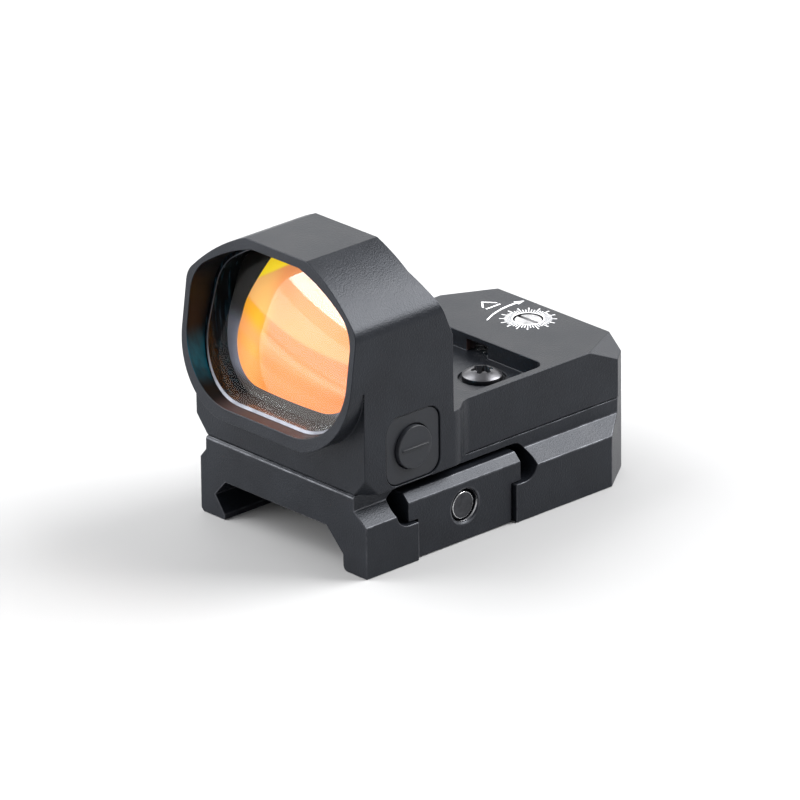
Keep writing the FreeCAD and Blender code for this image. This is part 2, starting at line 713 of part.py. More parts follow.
def mechanism_tools():
    """Cavity, emitter port and adjuster bores in the rear of the deck."""
    cave = box("mechanism_cave", (dim("cave_left"), dim("cave_right")),
               (dim("cave_front"), dim("cave_rear")), (dim("recess_top") - 0.5, dim("cave_top")))
    tower = box("tower_cave", (-dim("tower_cave_half"), dim("tower_cave_half")),
                (dim("cave_front"), dim("tower_cave_rear")),
                (dim("cave_top") - 0.5, dim("tower_cave_high")))
    port = box("emitter_port", (-dim("port_half"), dim("port_half")),
               (dim("pocket_rear") - 0.5, dim("cave_front") + 0.5),
               (dim("pocket_floor"), dim("port_high")))
    up = (0, dim("elevation_y"))
    side = (dim("windage_y"), dim("windage_z"))
    return [
        cave, tower, port,
        rod("elevation_bore", "z", up, dim("elevation_shoulder"), dim("deck_top") + 1,
            dim("adjuster_bore")),
        rod("elevation_passage", "z", up, dim("cave_top") - 0.5, dim("deck_top"),
            dim("adjuster_clear")),
        rod("windage_bore", "x", side, -dim("body_half") - 1, dim("windage_shoulder"),
            dim("adjuster_bore")),
        rod("windage_passage", "x", side, dim("windage_shoulder") - 1, dim("cave_left") + 0.5,
            dim("adjuster_clear")),
    ]


def sight_housing():
    """One machined housing: hood, deck, pocket and every bore."""
    blank = join("housing_blank", [hood_block(), hood_collar(), deck_block(), hood_tail()])
    pocket_tool = prism("deck_pocket", "XY", rounded(
        (-dim("pocket_half"), dim("pocket_half")), (dim("pocket_front"), dim("pocket_rear")),
        dim("pocket_radius")), dim("pocket_floor"), dim("deck_top") + 1)
    lens_bore = opening_prism("lens_bore", 0, None, dim("lens_rear_y"), dim("lens_slope"))
    window = opening_prism("rear_window", dim("ledge"), None, None, 0)
    tools = [pocket_tool, lens_bore, window, rear_slope()]
    tools += facets(1, "left") + facets(-1, "right")
    tools += fastener_tools() + bay_tools() + mechanism_tools()
    tools += button_tools(1, "left") + button_tools(-1, "right")
    finish_subpart(cut("sight_housing_solid", blank, tools), "sight_housing")


# ---------------------------------------------------------------- lens

def coat_sphere(name):
    """Ball whose front is the doublet's coated inner surface, concave towards the rear."""
    lean = math.atan(dim("lens_slope").value)
    centre_z = (dim("open_bottom").value + dim("open_top").value) / 2
    front = Vector(0, dim("lens_front_y").value + dim("lens_slope").value * centre_z, centre_z)
    rearwards = Vector(0, math.cos(lean), -math.sin(lean))
    ball = doc.addObject("Part::Sphere", name)
    bind(ball, "Radius", dim("coat_radius"))
    centre = front + rearwards * (dim("coat_depth").value + dim("coat_radius").value)
    ball.Placement = Placement(centre, Rotation())
    return ball


def lens():
    """Cemented doublet, its bond line and the bright retaining bezel."""
    slope = dim("lens_slope")
    inset = dim("lens_inset")
    for name in ("front", "rear"):
        blank = opening_prism("lens_%s_blank" % name, inset, dim("lens_front_y"),
                              dim("lens_rear_y") - 0.05, slope)
        ball = coat_sphere("coat_%s" % name)
        if name == "front":
            solid = cut("lens_front_solid", blank, [ball])
        else:
            solid = common("lens_rear_solid", blank, ball)
        finish_subpart(solid, "lens_%s_element" % name)
    outer = opening_prism("seal_outer", 0.02, dim("lens_front_y"), dim("lens_rear_y") - 0.05, slope)
    inner = opening_prism("seal_inner", inset - 0.01, None, None, 0)
    finish_subpart(cut("lens_seal_solid", outer, [inner]), "lens_seal")
    front = dim("lens_front_y") - dim("bezel_thick")
    ring = opening_prism("bezel_outer", 0.02, front, dim("lens_front_y") - 0.01, slope)
    hole = opening_prism("bezel_hole", dim("bezel_width"), None, None, 0)
    finish_subpart(cut("lens_bezel_solid", ring, [hole]), "lens_bezel")


# ---------------------------------------------------------------- mounting screws

def mounting_screws():
    """Two low domed screws with six lobed sockets."""
    screws = []
    seat, rim, top = dim("screw_seat"), dim("screw_rim"), dim("screw_crown")
    head, shank, end = dim("screw_head_radius"), dim("screw_radius"), dim("screw_end")
    dome_radius = (head * head + (top - rim) * (top - rim)) / ((top - rim) * 2)
    for sign, tag in ((1, "left"), (-1, "right")):
        centre = (dim("screw_x") * sign, dim("screw_y"))
        rim_disc = rod("screw_rim_" + tag, "z", centre, seat, top, head)
        ball = doc.addObject("Part::Sphere", "screw_dome_" + tag)
        bind(ball, "Radius", dome_radius)
        place(ball, "z", centre, top - dome_radius)
        domed = common("screw_head_" + tag, rim_disc, ball)
        shaft = rod("screw_shank_" + tag, "z", centre, end, seat + 0.1, shank)
        blank = join("screw_blank_" + tag, [domed, shaft])
        tools = [rod("torx_core_" + tag, "z", centre, seat + 0.3, top + 1,
                     dim("torx_radius") * 0.72)]
        for lobe in range(6):
            angle = math.pi * lobe / 3
            reach = dim("torx_radius") * 0.76
            lobe_centre = (centre[0] + reach * math.cos(angle), centre[1] + reach * math.sin(angle))
            tools.append(rod("torx_lobe_%s_%d" % (tag, lobe), "z", lobe_centre, seat + 0.3,
                             top + 1, dim("torx_radius") * 0.24))
        screws.append(cut("screw_" + tag, blank, tools))
    group = doc.addObject("Part::Compound", "mounting_screws_group")
    group.Links = screws
    finish_subpart(group, "mounting_screws")


# ---------------------------------------------------------------- battery and electronics

def battery():
    """Coin cell: can with a stepped, smaller negative cap facing up."""
    centre = (0, dim("cell_y"))
    can = rod("cell_can", "z", centre, dim("cell_low"), dim("cell_high") - 0.5, dim("cell_radius"))
    cap = rod("cell_cap", "z", centre, dim("cell_high") - 0.6, dim("cell_high"),
              dim("cell_radius") - 1.2)
    finish_subpart(join("battery_solid", [can, cap]), "battery")


def battery_contacts():
    """Leaf above the cell and the grounding clip beside its rear edge."""
    y = dim("cell_y")
    high = dim("cell_high")
    strip = box("leaf_strip", (-1.5, 1.5), (y - 5, y + 8.6), (high + 0.02, high + 0.2))
    fingers = box("leaf_cross", (-4, 4), (y - 1, y + 1), (high + 0.02, high + 0.2))
    finish_subpart(join("contact_leaf_solid", [strip, fingers]), "battery_contact_leaf")
    low = dim("cell_low")
    foot = box("clip_foot", (-1.8, 1.8), (y + 7, y + 10.15), (low - 0.2, low - 0.02))
    wall = box("clip_wall", (-1.8, 1.8), (y + 10.03, y + 10.15), (low - 0.2, low + 2.0))
    finish_subpart(join("contact_clip_solid", [foot, wall]), "battery_contact_clip")


def battery_gasket():
    """Rubber ring that seals the bay against the base."""
    centre = (0, dim("cell_y"))
    seam = dim("seam")
    top = seam + dim("gasket_thick") - 0.03
    outer = rod("gasket_outer_disc", "z", centre, seam + 0.01, top, dim("gasket_outer") - 0.04)
    inner = rod("gasket_hole", "z", centre, seam - 1, top + 1, dim("gasket_inner") + 0.04)
    finish_subpart(cut("battery_gasket_solid", outer, [inner]), "battery_gasket")


def flat_board(name, low, thick):
    """Plate with the recess outline and clearance holes for the two screws."""
    body = new_body(name + "_body")
    half = dim("board_half")
    outline = rounded((-half, half), (dim("board_front"), dim("board_rear")), 0.8)
    sketch = body_sketch(body, name + "_outline", "XY_Plane", low, outline)
    pad(body, name + "_plate", sketch, thick)
    for sign, tag in ((1, "left"), (-1, "right")):
        x = dim("screw_x") * sign
        y = dim("screw_y")
        reach = dim("screw_radius") + 0.5
        hole = body_sketch(body, "%s_hole_%s_outline" % (name, tag), "XY_Plane", low,
                           rounded((x - reach, x + reach), (y - reach, y + reach), 1.2))
        pocket(body, "%s_hole_%s" % (name, tag), hole, thick, reverse=True)
    finish_subpart(body, name)


def boards():
    """Bottom cover plate and main circuit board."""
    flat_board("bottom_cover", dim("cover_low"), dim("cover_thick"))
    flat_board("main_board", dim("board_low"), dim("board_thick"))
    chip_low = dim("board_low") + dim("board_thick")
    chip = box("chip_block", (-2.5, 2.5), (13.0, 16.0), (chip_low, chip_low + 0.12))
    finish_subpart(chip, "controller_chip")


# ---------------------------------------------------------------- emitter mechanism

def windage_slider():
    """Frame that carries the emitter sideways."""
    half = dim("slider_half")
    block = box("slider_block", (-half, half), (dim("slider_front"), dim("slider_rear")),
                (dim("slider_low"), dim("slider_high")))
    window = box("slider_window", (-dim("window_half"), dim("window_half")),
                 (dim("window_front"), dim("window_rear")),
                 (dim("slider_low") - 1, dim("slider_high") + 1))
    thread = rod("slider_thread", "x", (dim("windage_y"), dim("windage_z")), -half - 1,
                 -dim("window_half") + 0.5, dim("adjuster_clear"))
    finish_subpart(cut("windage_slider_solid", block, [window, thread]), "windage_slider")


def emitter_carriage():
    """Block that carries the diode up and down inside the slider."""
    half = dim("carriage_half")
    block = box("carriage_block", (-half, half), (dim("carriage_front"), dim("carriage_rear")),
                (dim("carriage_low"), dim("carriage_high")))
    tower = box("carriage_tower", (-dim("tower_half"), dim("tower_half")),
                (dim("carriage_front") + dim("led_depth"), dim("tower_rear")),
                (dim("carriage_high") - 0.5, dim("tower_high")))
    up = (0, dim("elevation_y"))
    reach, play = dim("adjuster_clear"), dim("carriage_play")
    low, high = dim("elevation_y") - reach, dim("elevation_y") + reach
    slot = rounded((-reach - play, reach + play), (low, high), reach - 0.05)
    thread = prism("carriage_thread", "XY", slot, dim("carriage_low") - 1,
                   dim("carriage_high") + 1)
    well = rod("carriage_well", "z", up, dim("carriage_high") - dim("spring_well_deep"),
               dim("carriage_high") + 1, dim("spring_well"))
    blank = join("carriage_blank", [block, tower])
    finish_subpart(cut("emitter_carriage_solid", blank, [thread, well]), "emitter_carriage")


def emitter():
    """Light emitting diode on the tower, and the glass over its port."""
    half = dim("led_size") / 2
    low = dim("led_z") - half
    front = dim("carriage_front")
    finish_subpart(box("led_block", (-half, half), (front, front + dim("led_depth")),
                       (low, low + dim("led_size"))), "led_emitter")
    gap = 0.02
    glass = box("port_glass", (-dim("port_half") + gap, dim("port_half") - gap),
                (dim("glass_y"), dim("glass_y") + dim("glass_thick")),
                (dim("pocket_floor") + gap, dim("port_high") - gap))
    finish_subpart(glass, "emitter_window")


def adjuster_screw(name, length, shoulder):
    """Slotted adjuster turned about Z: the head's top face is at z = 0."""
    body = new_body(name + "_body")
    head, thread = dim("adjuster_head"), dim("adjuster_thread")
    groove, minor = dim("ring_groove"), dim("ring_minor") + 0.03
    middle = shoulder / 2 + 0.1
    half_section = [
        (0, 0), (0, -length), (thread - 0.2, -length), (thread, -length + 0.2),
        (thread, -shoulder), (head, -shoulder), (head, -middle - minor), (groove, -middle - minor),
        (groove, -middle + minor), (head, -middle + minor), (head, -0.1), (head - 0.1, 0),
    ]
    turned(body, name + "_turned", "XZ_Plane", half_section, "V_Axis")
    wide = dim("adjuster_slot") / 2
    slot = body_sketch(body, name + "_slot_outline", "XY_Plane", 0,
                       [(-2, -wide), (2, -wide), (2, wide), (-2, wide)])
    pocket(body, name + "_slot", slot, dim("adjuster_slot_deep"))
    return body, middle


def spring(name, axis, centre, low, high, turns):
    """Compression spring as one swept coil."""
    coil = doc.addObject("Part::Helix", name + "_coil")
    wire = dim("coil_wire")
    length = as_size(high) - low - wire * 2
    bind(coil, "Radius", dim("coil_radius"))
    bind(coil, "Pitch", length / turns)
    bind(coil, "Height", length)
    coil.SegmentLength = 0.5
    section = doc.addObject("Part::Circle", name + "_wire")
    bind(section, "Radius", wire)
    section.Placement = Placement(Vector(dim("coil_radius").value, 0, 0),
                                  Rotation(Vector(1, 0, 0), 90))
    sweep = doc.addObject("Part::Sweep", name + "_sweep")
    sweep.Sections = [section]
    sweep.Spine = coil
    sweep.Solid = True
    sweep.Frenet = True
    place(sweep, axis, centre, as_size(low) + wire)
    return finish_subpart(sweep, name)


def adjusters():
    """Elevation and windage screws, their seals and their preload springs."""
    y = dim("elevation_y")
    top = dim("elevation_top")
    screw, middle = adjuster_screw("elevation_screw", top - dim("elevation_end"),
                                   top - dim("elevation_shoulder") - 0.05)
    bind(screw, "Placement.Base.y", y)
    bind(screw, "Placement.Base.z", top)
    finish_subpart(screw, "elevation_screw")
    finish_subpart(torus("elevation_ring", "z", (0, y), top - middle, dim("ring_major"),
                         dim("ring_minor")), "elevation_oring")
    well_floor = dim("carriage_high") - dim("spring_well_deep")
    spring("elevation_spring", "z", (0, y), well_floor + 0.02, dim("cave_top") - 0.02, 2)

    face = dim("windage_face")
    centre = (dim("windage_y"), dim("windage_z"))
    screw, middle = adjuster_screw("windage_screw", dim("windage_end") - face,
                                   dim("windage_shoulder") - face - 0.05)
    screw.Placement = Placement(Vector(), Rotation(Vector(0, 1, 0), -90))
    bind(screw, "Placement.Base.x", face)
    bind(screw, "Placement.Base.y", centre[0])
    bind(screw, "Placement.Base.z", centre[1])
    finish_subpart(screw, "windage_screw")
    finish_subpart(torus("windage_ring", "x", centre, face + middle, dim("ring_major"),
                         dim("ring_minor")), "windage_oring")
    spring("windage_spring", "x", centre, dim("cave_left") + 0.02, -dim("slider_half") - 0.02, 4)


# ---------------------------------------------------------------- buttons

def button_set(sign, tag):
    """Rubber pad, sliding cap with its mark, snap dome and switch board on one side."""
    y, z = dim("button_y"), dim("button_z")

    def limits(low, high):
        return (low, high) if sign > 0 else (-high, -low)

    half = dim("pad_half") - 0.05
    low, high = limits(dim("pad_back") + 0.02, dim("pad_face"))
    outline = rounded((y - half, y + half), (z - half, z + half), dim("pad_round"))
    plate = prism("pad_plate_" + tag, "YZ", outline, low, high)
    low, high = limits(dim("pad_back") - 1, dim("pad_face") + 1)
    hole = rod("pad_hole_" + tag, "x", (y, z), low, high, dim("button_radius") + 0.1)
    finish_subpart(cut("button_pad_%s_solid" % tag, plate, [hole]), "button_pad_" + tag)

    low, high = limits(dim("button_back"), dim("button_out"))
    post = rod("cap_post_" + tag, "x", (y, z), low, high, dim("button_radius"))
    low, high = limits(dim("button_back"), dim("flange_front"))
    flange = rod("cap_flange_" + tag, "x", (y, z), low, high, dim("flange_radius"))
    low, high = limits(dim("button_out") - 0.1, dim("button_out") + 0.18)
    bars = [box("cap_bar_" + tag, (low, high), (y - 2.0, y + 2.0), (z - 0.15, z + 0.15))]
    if sign < 0:
        bars.append(box("cap_cross_" + tag, (low, high), (y - 0.15, y + 0.15), (z - 2.0, z + 2.0)))
    finish_subpart(join("button_cap_%s_solid" % tag, [post, flange] + bars), "button_cap_" + tag)

    back = dim("switch_bore_back")
    board_out = back + dim("switch_board")
    low, high = limits(back + 0.01, board_out)
    board = rod("switch_disc_" + tag, "x", (y, z), low, high, dim("switch_radius") - 0.1)
    finish_subpart(board, "switch_board_" + tag)
    dome_low, dome_high = board_out + 0.01, board_out + dim("dome_high")
    rim, crest = dim("dome_radius"), dim("dome_radius") * 0.45
    low, high = limits(dome_low, dome_high)
    radii = (rim, crest) if sign > 0 else (crest, rim)
    finish_subpart(cone("dome_" + tag, "x", (y, z), low, high, *radii), "snap_dome_" + tag)


# ---------------------------------------------------------------- build, check, write

def check_document():
    """Stop on any failed object or bad sub-part shape."""
    for thing in doc.Objects:
        if "Invalid" in thing.State or "Error" in thing.State:
            raise RuntimeError("%s failed: %s" % (thing.Name, thing.State))
    for part in SUBPARTS:
        if part.Shape.isNull() or not part.Shape.isValid() or not part.Shape.Solids:
            raise RuntimeError("%s has a bad shape" % part.Label)


def write_subparts():
    """One STEP file per sub-part, named by its label."""
    os.makedirs("parts", exist_ok=True)
    for part in SUBPARTS:
        part.Shape.exportStep("parts/%s.step" % part.Label)
        extent = part.Shape.BoundBox
        print("%-22s %d solids  %8.2f mm3  x %.2f..%.2f  y %.2f..%.2f  z %.2f..%.2f" % (
            part.Label, len(part.Shape.Solids), part.Shape.Volume, extent.XMin, extent.XMax,
            extent.YMin, extent.YMax, extent.ZMin, extent.ZMax))


def main():
    fill_sheet()
    rail_base()
    clamp_jaw()
    cross_bolt()
    bolt_washer()
    locating_pins()
    sight_housing()
    lens()
    mounting_screws()
    battery()
    battery_contacts()
    battery_gasket()
    boards()
    windage_slider()
    emitter_carriage()
    emitter()
    adjusters()
    button_set(1, "left")
    button_set(-1, "right")
    doc.recompute()
    check_document()
    write_subparts()


main()
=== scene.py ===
"""Looks of the compact open reflex sight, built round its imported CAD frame.

Metres, in the row frame: +Z up, the lens faces -Y, +X is the side of the sliding jaw.
"""
import json
import math

import bmesh
import bpy
from mathutils import Matrix, Vector

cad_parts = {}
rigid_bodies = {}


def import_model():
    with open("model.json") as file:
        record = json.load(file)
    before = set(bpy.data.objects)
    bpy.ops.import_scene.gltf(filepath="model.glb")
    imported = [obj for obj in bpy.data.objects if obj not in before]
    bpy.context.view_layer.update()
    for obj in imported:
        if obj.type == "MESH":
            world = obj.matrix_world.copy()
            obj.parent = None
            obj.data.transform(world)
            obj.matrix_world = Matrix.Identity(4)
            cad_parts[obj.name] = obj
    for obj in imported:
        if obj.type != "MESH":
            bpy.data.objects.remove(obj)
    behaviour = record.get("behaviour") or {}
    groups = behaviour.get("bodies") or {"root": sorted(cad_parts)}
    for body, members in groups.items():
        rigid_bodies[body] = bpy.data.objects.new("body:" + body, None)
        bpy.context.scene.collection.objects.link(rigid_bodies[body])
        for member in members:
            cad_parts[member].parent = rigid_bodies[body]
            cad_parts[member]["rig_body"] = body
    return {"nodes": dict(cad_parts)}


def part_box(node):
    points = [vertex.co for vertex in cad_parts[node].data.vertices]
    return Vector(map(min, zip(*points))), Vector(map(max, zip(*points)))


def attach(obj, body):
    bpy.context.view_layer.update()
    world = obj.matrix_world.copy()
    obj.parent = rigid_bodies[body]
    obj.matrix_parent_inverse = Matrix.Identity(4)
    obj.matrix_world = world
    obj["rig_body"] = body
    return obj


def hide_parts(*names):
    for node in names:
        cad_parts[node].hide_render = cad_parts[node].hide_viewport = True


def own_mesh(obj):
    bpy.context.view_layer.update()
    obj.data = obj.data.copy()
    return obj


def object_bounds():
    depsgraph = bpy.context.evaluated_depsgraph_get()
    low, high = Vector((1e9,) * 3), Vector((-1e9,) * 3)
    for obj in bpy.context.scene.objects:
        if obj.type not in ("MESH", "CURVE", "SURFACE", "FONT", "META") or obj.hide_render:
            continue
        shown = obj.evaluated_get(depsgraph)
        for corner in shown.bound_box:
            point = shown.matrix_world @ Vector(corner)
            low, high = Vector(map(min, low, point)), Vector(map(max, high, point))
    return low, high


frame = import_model()
cad_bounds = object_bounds()
nodes = frame["nodes"]

MM = 0.001

# lens planes and coat, as the CAD draws them: planes y = start + LEAN * z
LEAN = 0.3
LENS_FRONT = -20.4 * MM
LENS_REAR = -15.45 * MM
COAT_RADIUS = 60 * MM
COAT_DEPTH = 1.6 * MM
OUTLINE_POINTS = 144


# ---------------------------------------------------------------- shader building blocks

class Shader:
    """One material, and the few node calls that every finish below is made of."""

    def __init__(self, name):
        self.material = bpy.data.materials.new(name)
        self.material.use_nodes = True
        self.tree = self.material.node_tree
        self.tree.nodes.clear()
        self.output = self.tree.nodes.new("ShaderNodeOutputMaterial")
        self.place = self.node("ShaderNodeTexCoord").outputs["Object"]

    def node(self, kind, **settings):
        made = self.tree.nodes.new(kind)
        for name, value in settings.items():
            setattr(made, name, value)
        return made

    def feed(self, socket, value):
        """Link an output into the socket, or set a constant on it."""
        if isinstance(value, bpy.types.NodeSocket):
            self.tree.links.new(value, socket)
        else:
            socket.default_value = value

    def noise(self, size, detail=2.0, stretch=(1, 1, 1)):
        """Noise whose blotches are about size across, longer where stretch is over 1."""
        mapping = self.node("ShaderNodeMapping")
        self.feed(mapping.inputs["Vector"], self.place)
        mapping.inputs["Scale"].default_value = [1 / (size * part) for part in stretch]
        noise = self.node("ShaderNodeTexNoise")
        self.feed(noise.inputs["Vector"], mapping.outputs["Vector"])
        noise.inputs["Scale"].default_value = 1.0
        noise.inputs["Detail"].default_value = detail
        return noise.outputs["Fac"]

    def spread(self, value, low, high, start=0.3, end=0.7, smooth=False):
        """The value from start to end, stretched to run from low to high."""
        mapper = self.node("ShaderNodeMapRange")
        if smooth:
            mapper.interpolation_type = "SMOOTHSTEP"
        self.feed(mapper.inputs["Value"], value)
        mapper.inputs["From Min"].default_value = start
        mapper.inputs["From Max"].default_value = end
        mapper.inputs["To Min"].default_value = low
        mapper.inputs["To Max"].default_value = high
        return mapper.outputs["Result"]

    def blend(self, factor, first, second):
        """Colour that goes from first to second."""
        mixer = self.node("ShaderNodeMix", data_type="RGBA")
        self.feed(mixer.inputs[0], factor)
        for socket, colour in ((mixer.inputs[6], first), (mixer.inputs[7], second)):
            if isinstance(colour, bpy.types.NodeSocket):
                self.feed(socket, colour)
            else:
                socket.default_value = (*colour, 1)
        return mixer.outputs[2]

    def math(self, operation, first, second=0.0):
        maths = self.node("ShaderNodeMath", operation=operation)
        self.feed(maths.inputs[0], first)
        self.feed(maths.inputs[1], second)
        return maths.outputs[0]

    def distance(self, centre, mask=(1, 1, 1)):
        """Distance from a point, or from an axis where the mask leaves one letter out."""
        offset = self.node("ShaderNodeVectorMath", operation="SUBTRACT")
        self.feed(offset.inputs[0], self.place)
        offset.inputs[1].default_value = centre
        flat = self.node("ShaderNodeVectorMath", operation="MULTIPLY")
        self.feed(flat.inputs[0], offset.outputs["Vector"])
        flat.inputs[1].default_value = mask
        length = self.node("ShaderNodeVectorMath", operation="LENGTH")
        self.feed(length.inputs[0], flat.outputs["Vector"])
        return length.outputs["Value"]

    def along(self, direction):
        """Place along a direction, in metres."""
        dot = self.node("ShaderNodeVectorMath", operation="DOT_PRODUCT")
        self.feed(dot.inputs[0], self.place)
        dot.inputs[1].default_value = direction
        return dot.outputs["Value"]

    def bump(self, height, depth):
        """Relief of this depth in metres."""
        bump = self.node("ShaderNodeBump")
        bump.inputs["Distance"].default_value = depth
        self.feed(bump.inputs["Height"], height)
        return bump.outputs["Normal"]

    def principled(self, **inputs):
        """Principled shader; an input's name is written with underscores."""
        shader = self.node("ShaderNodeBsdfPrincipled")
        for name, value in inputs.items():
            socket = shader.inputs[name.replace("_", " ")]
            if isinstance(value, tuple):
                value = (*value, 1)
            self.feed(socket, value)
        return shader.outputs["BSDF"]

    def mix(self, factor, first, second):
        mixer = self.node("ShaderNodeMixShader")
        self.feed(mixer.inputs[0], factor)
        self.feed(mixer.inputs[1], first)
        self.feed(mixer.inputs[2], second)
        return mixer.outputs[0]

    def finish(self, surface):
        self.feed(self.output.inputs["Surface"], surface)
        return self.material


# ---------------------------------------------------------------- finishes

def anodise(name, dark, light, rough_low, rough_high):
    """Bead blasted black anodise: fine pits under a faintly cloudy film."""
    shader = Shader(name)
    cloud = shader.noise(5 * MM, detail=4)
    grain = shader.noise(0.2 * MM, detail=2)
    speckle = shader.spread(grain, 0, 1, 0.35, 0.65)
    base = shader.blend(shader.spread(cloud, 0, 1), dark, light)
    colour = shader.blend(shader.math("MULTIPLY", speckle, 0.35), base, light)
    return shader.finish(shader.principled(
        Base_Color=colour, Metallic=0.45, Specular_IOR_Level=0.38,
        Roughness=shader.spread(cloud, rough_low, rough_high),
        Normal=shader.bump(grain, 0.035 * MM)))


def rubbed_edge(name, film, metal):
    """Anodise along an edge, rubbed thin in places."""
    shader = Shader(name)
    patches = shader.noise(1.4 * MM, detail=5)
    colour = shader.blend(shader.spread(patches, 0, 1, 0.42, 0.72), film, metal)
    return shader.finish(shader.principled(
        Base_Color=colour, Metallic=0.5, Roughness=shader.spread(patches, 0.42, 0.36)))


def bore_lacquer():
    """Black lacquer inside the hood, with a painted blue green reflection in streaks on its wall
    just ahead of the lens.
    """
    shader = Shader("bore_lacquer")
    cloud = shader.noise(3 * MM, detail=3)
    # Painted reflection: a blue green patch on the -X wall beside the lens, broken into streaks.
    sheen = shader.spread(shader.distance((-12.5 * MM, -16.7 * MM, 15.2 * MM)), 1, 0,
                          0.2 * MM, 4.2 * MM, smooth=True)
    streaks = shader.spread(shader.noise(0.8 * MM, 3, (1, 1, 6)), 0.5, 1)
    colour = shader.blend(shader.math("MULTIPLY", sheen, streaks),
                          (0.004, 0.0045, 0.0055), (0.008, 0.15, 0.23))
    foot = shader.spread(shader.along((0, 0, 1)), 0.8, 0, 10.6 * MM, 11.8 * MM, smooth=True)
    colour = shader.blend(foot, colour, (0.11, 0.065, 0.06))
    return shader.finish(shader.principled(
        Base_Color=colour, Roughness=shader.spread(cloud, 0.3, 0.42), Specular_IOR_Level=0.15,
        Normal=shader.bump(shader.noise(0.3 * MM), 0.004 * MM)))


def turned_metal(name, dark, light, roughness, centre, mask):
    """Turned steel: fine rings round an axis, and a little staining."""
    pitch, groove = 0.09 * MM, 0.003 * MM
    shader = Shader(name)
    stain = shader.noise(0.8 * MM, detail=4)
    rings = shader.math("SINE", shader.math(
        "MULTIPLY", shader.distance(centre, mask), 2 * math.pi / pitch))
    colour = shader.blend(shader.spread(stain, 0, 1), dark, light)
    return shader.finish(shader.principled(
        Base_Color=colour, Metallic=0.9,
        Roughness=shader.spread(stain, roughness * 0.85, roughness * 1.15),
        Normal=shader.bump(rings, groove)))


def plain_metal(name, dark, light, roughness, stretch=(1, 1, 1)):
    """Drawn, stamped or plated metal with grain along the stretched direction."""
    shader = Shader(name)
    grain = shader.noise(0.12 * MM, 3, stretch)
    stain = shader.noise(2 * MM, 4)
    return shader.finish(shader.principled(
        Base_Color=shader.blend(shader.spread(stain, 0, 1), dark, light), Metallic=1.0,
        Roughness=shader.spread(grain, roughness * 0.8, roughness * 1.2),
        Normal=shader.bump(grain, 0.004 * MM)))


def moulded(name, dark, light, rough_low, rough_high):
    """Moulded rubber or polymer with a fine spark eroded texture."""
    shader = Shader(name)
    texture = shader.noise(0.15 * MM, detail=2)
    cloud = shader.noise(2.5 * MM, detail=3)
    return shader.finish(shader.principled(
        Base_Color=shader.blend(shader.spread(cloud, 0, 1), dark, light),
        Roughness=shader.spread(cloud, rough_low, rough_high), Specular_IOR_Level=0.4,
        Normal=shader.bump(texture, 0.008 * MM)))


def paint():
    """White filling paint in engraved marks, a little uneven."""
    shader = Shader("marking_white")
    cloud = shader.noise(0.5 * MM, detail=3)
    colour = shader.blend(shader.spread(cloud, 0, 1), (0.78, 0.79, 0.82), (0.93, 0.93, 0.94))
    return shader.finish(shader.principled(
        Base_Color=colour, Roughness=shader.spread(cloud, 0.45, 0.6),
        Normal=shader.bump(cloud, 0.01 * MM)))


def circuit_board():
    """Green solder mask with copper tracks raised under it."""
    shader = Shader("board_green")
    tracks = shader.node("ShaderNodeTexVoronoi", feature="DISTANCE_TO_EDGE")
    mapping = shader.node("ShaderNodeMapping")
    shader.feed(mapping.inputs["Vector"], shader.place)
    mapping.inputs["Scale"].default_value = (1 / MM, 1 / MM, 1 / MM)
    shader.feed(tracks.inputs["Vector"], mapping.outputs["Vector"])
    track = shader.spread(tracks.outputs["Distance"], 1, 0, 0.05, 0.12)
    colour = shader.blend(track, (0.01, 0.07, 0.03), (0.02, 0.16, 0.07))
    return shader.finish(shader.principled(
        Base_Color=colour, Roughness=0.35, Normal=shader.bump(track, 0.02 * MM)))


def clear_glass(name, tint):
    """Clear polished glass: it mirrors a little and lets the rest through."""
    gloss = 0.02
    head_on, grazing = 0.006, 0.7
    shader = Shader(name)
    smudge = shader.noise(4 * MM, detail=4)
    weight = shader.node("ShaderNodeLayerWeight")
    glance = shader.math("POWER", weight.outputs["Facing"], 5.0)
    sheen = shader.spread(glance, head_on, grazing, 0, 1)
    glossy = shader.node("ShaderNodeBsdfGlossy")
    glossy.inputs["Color"].default_value = (1, 1, 1, 1)
    shader.feed(glossy.inputs["Roughness"], shader.spread(smudge, gloss, gloss * 2.5))
    through = shader.node("ShaderNodeBsdfTransparent")
    through.inputs["Color"].default_value = (*tint, 1)
    return shader.finish(shader.mix(sheen, through.outputs[0], glossy.outputs[0]))


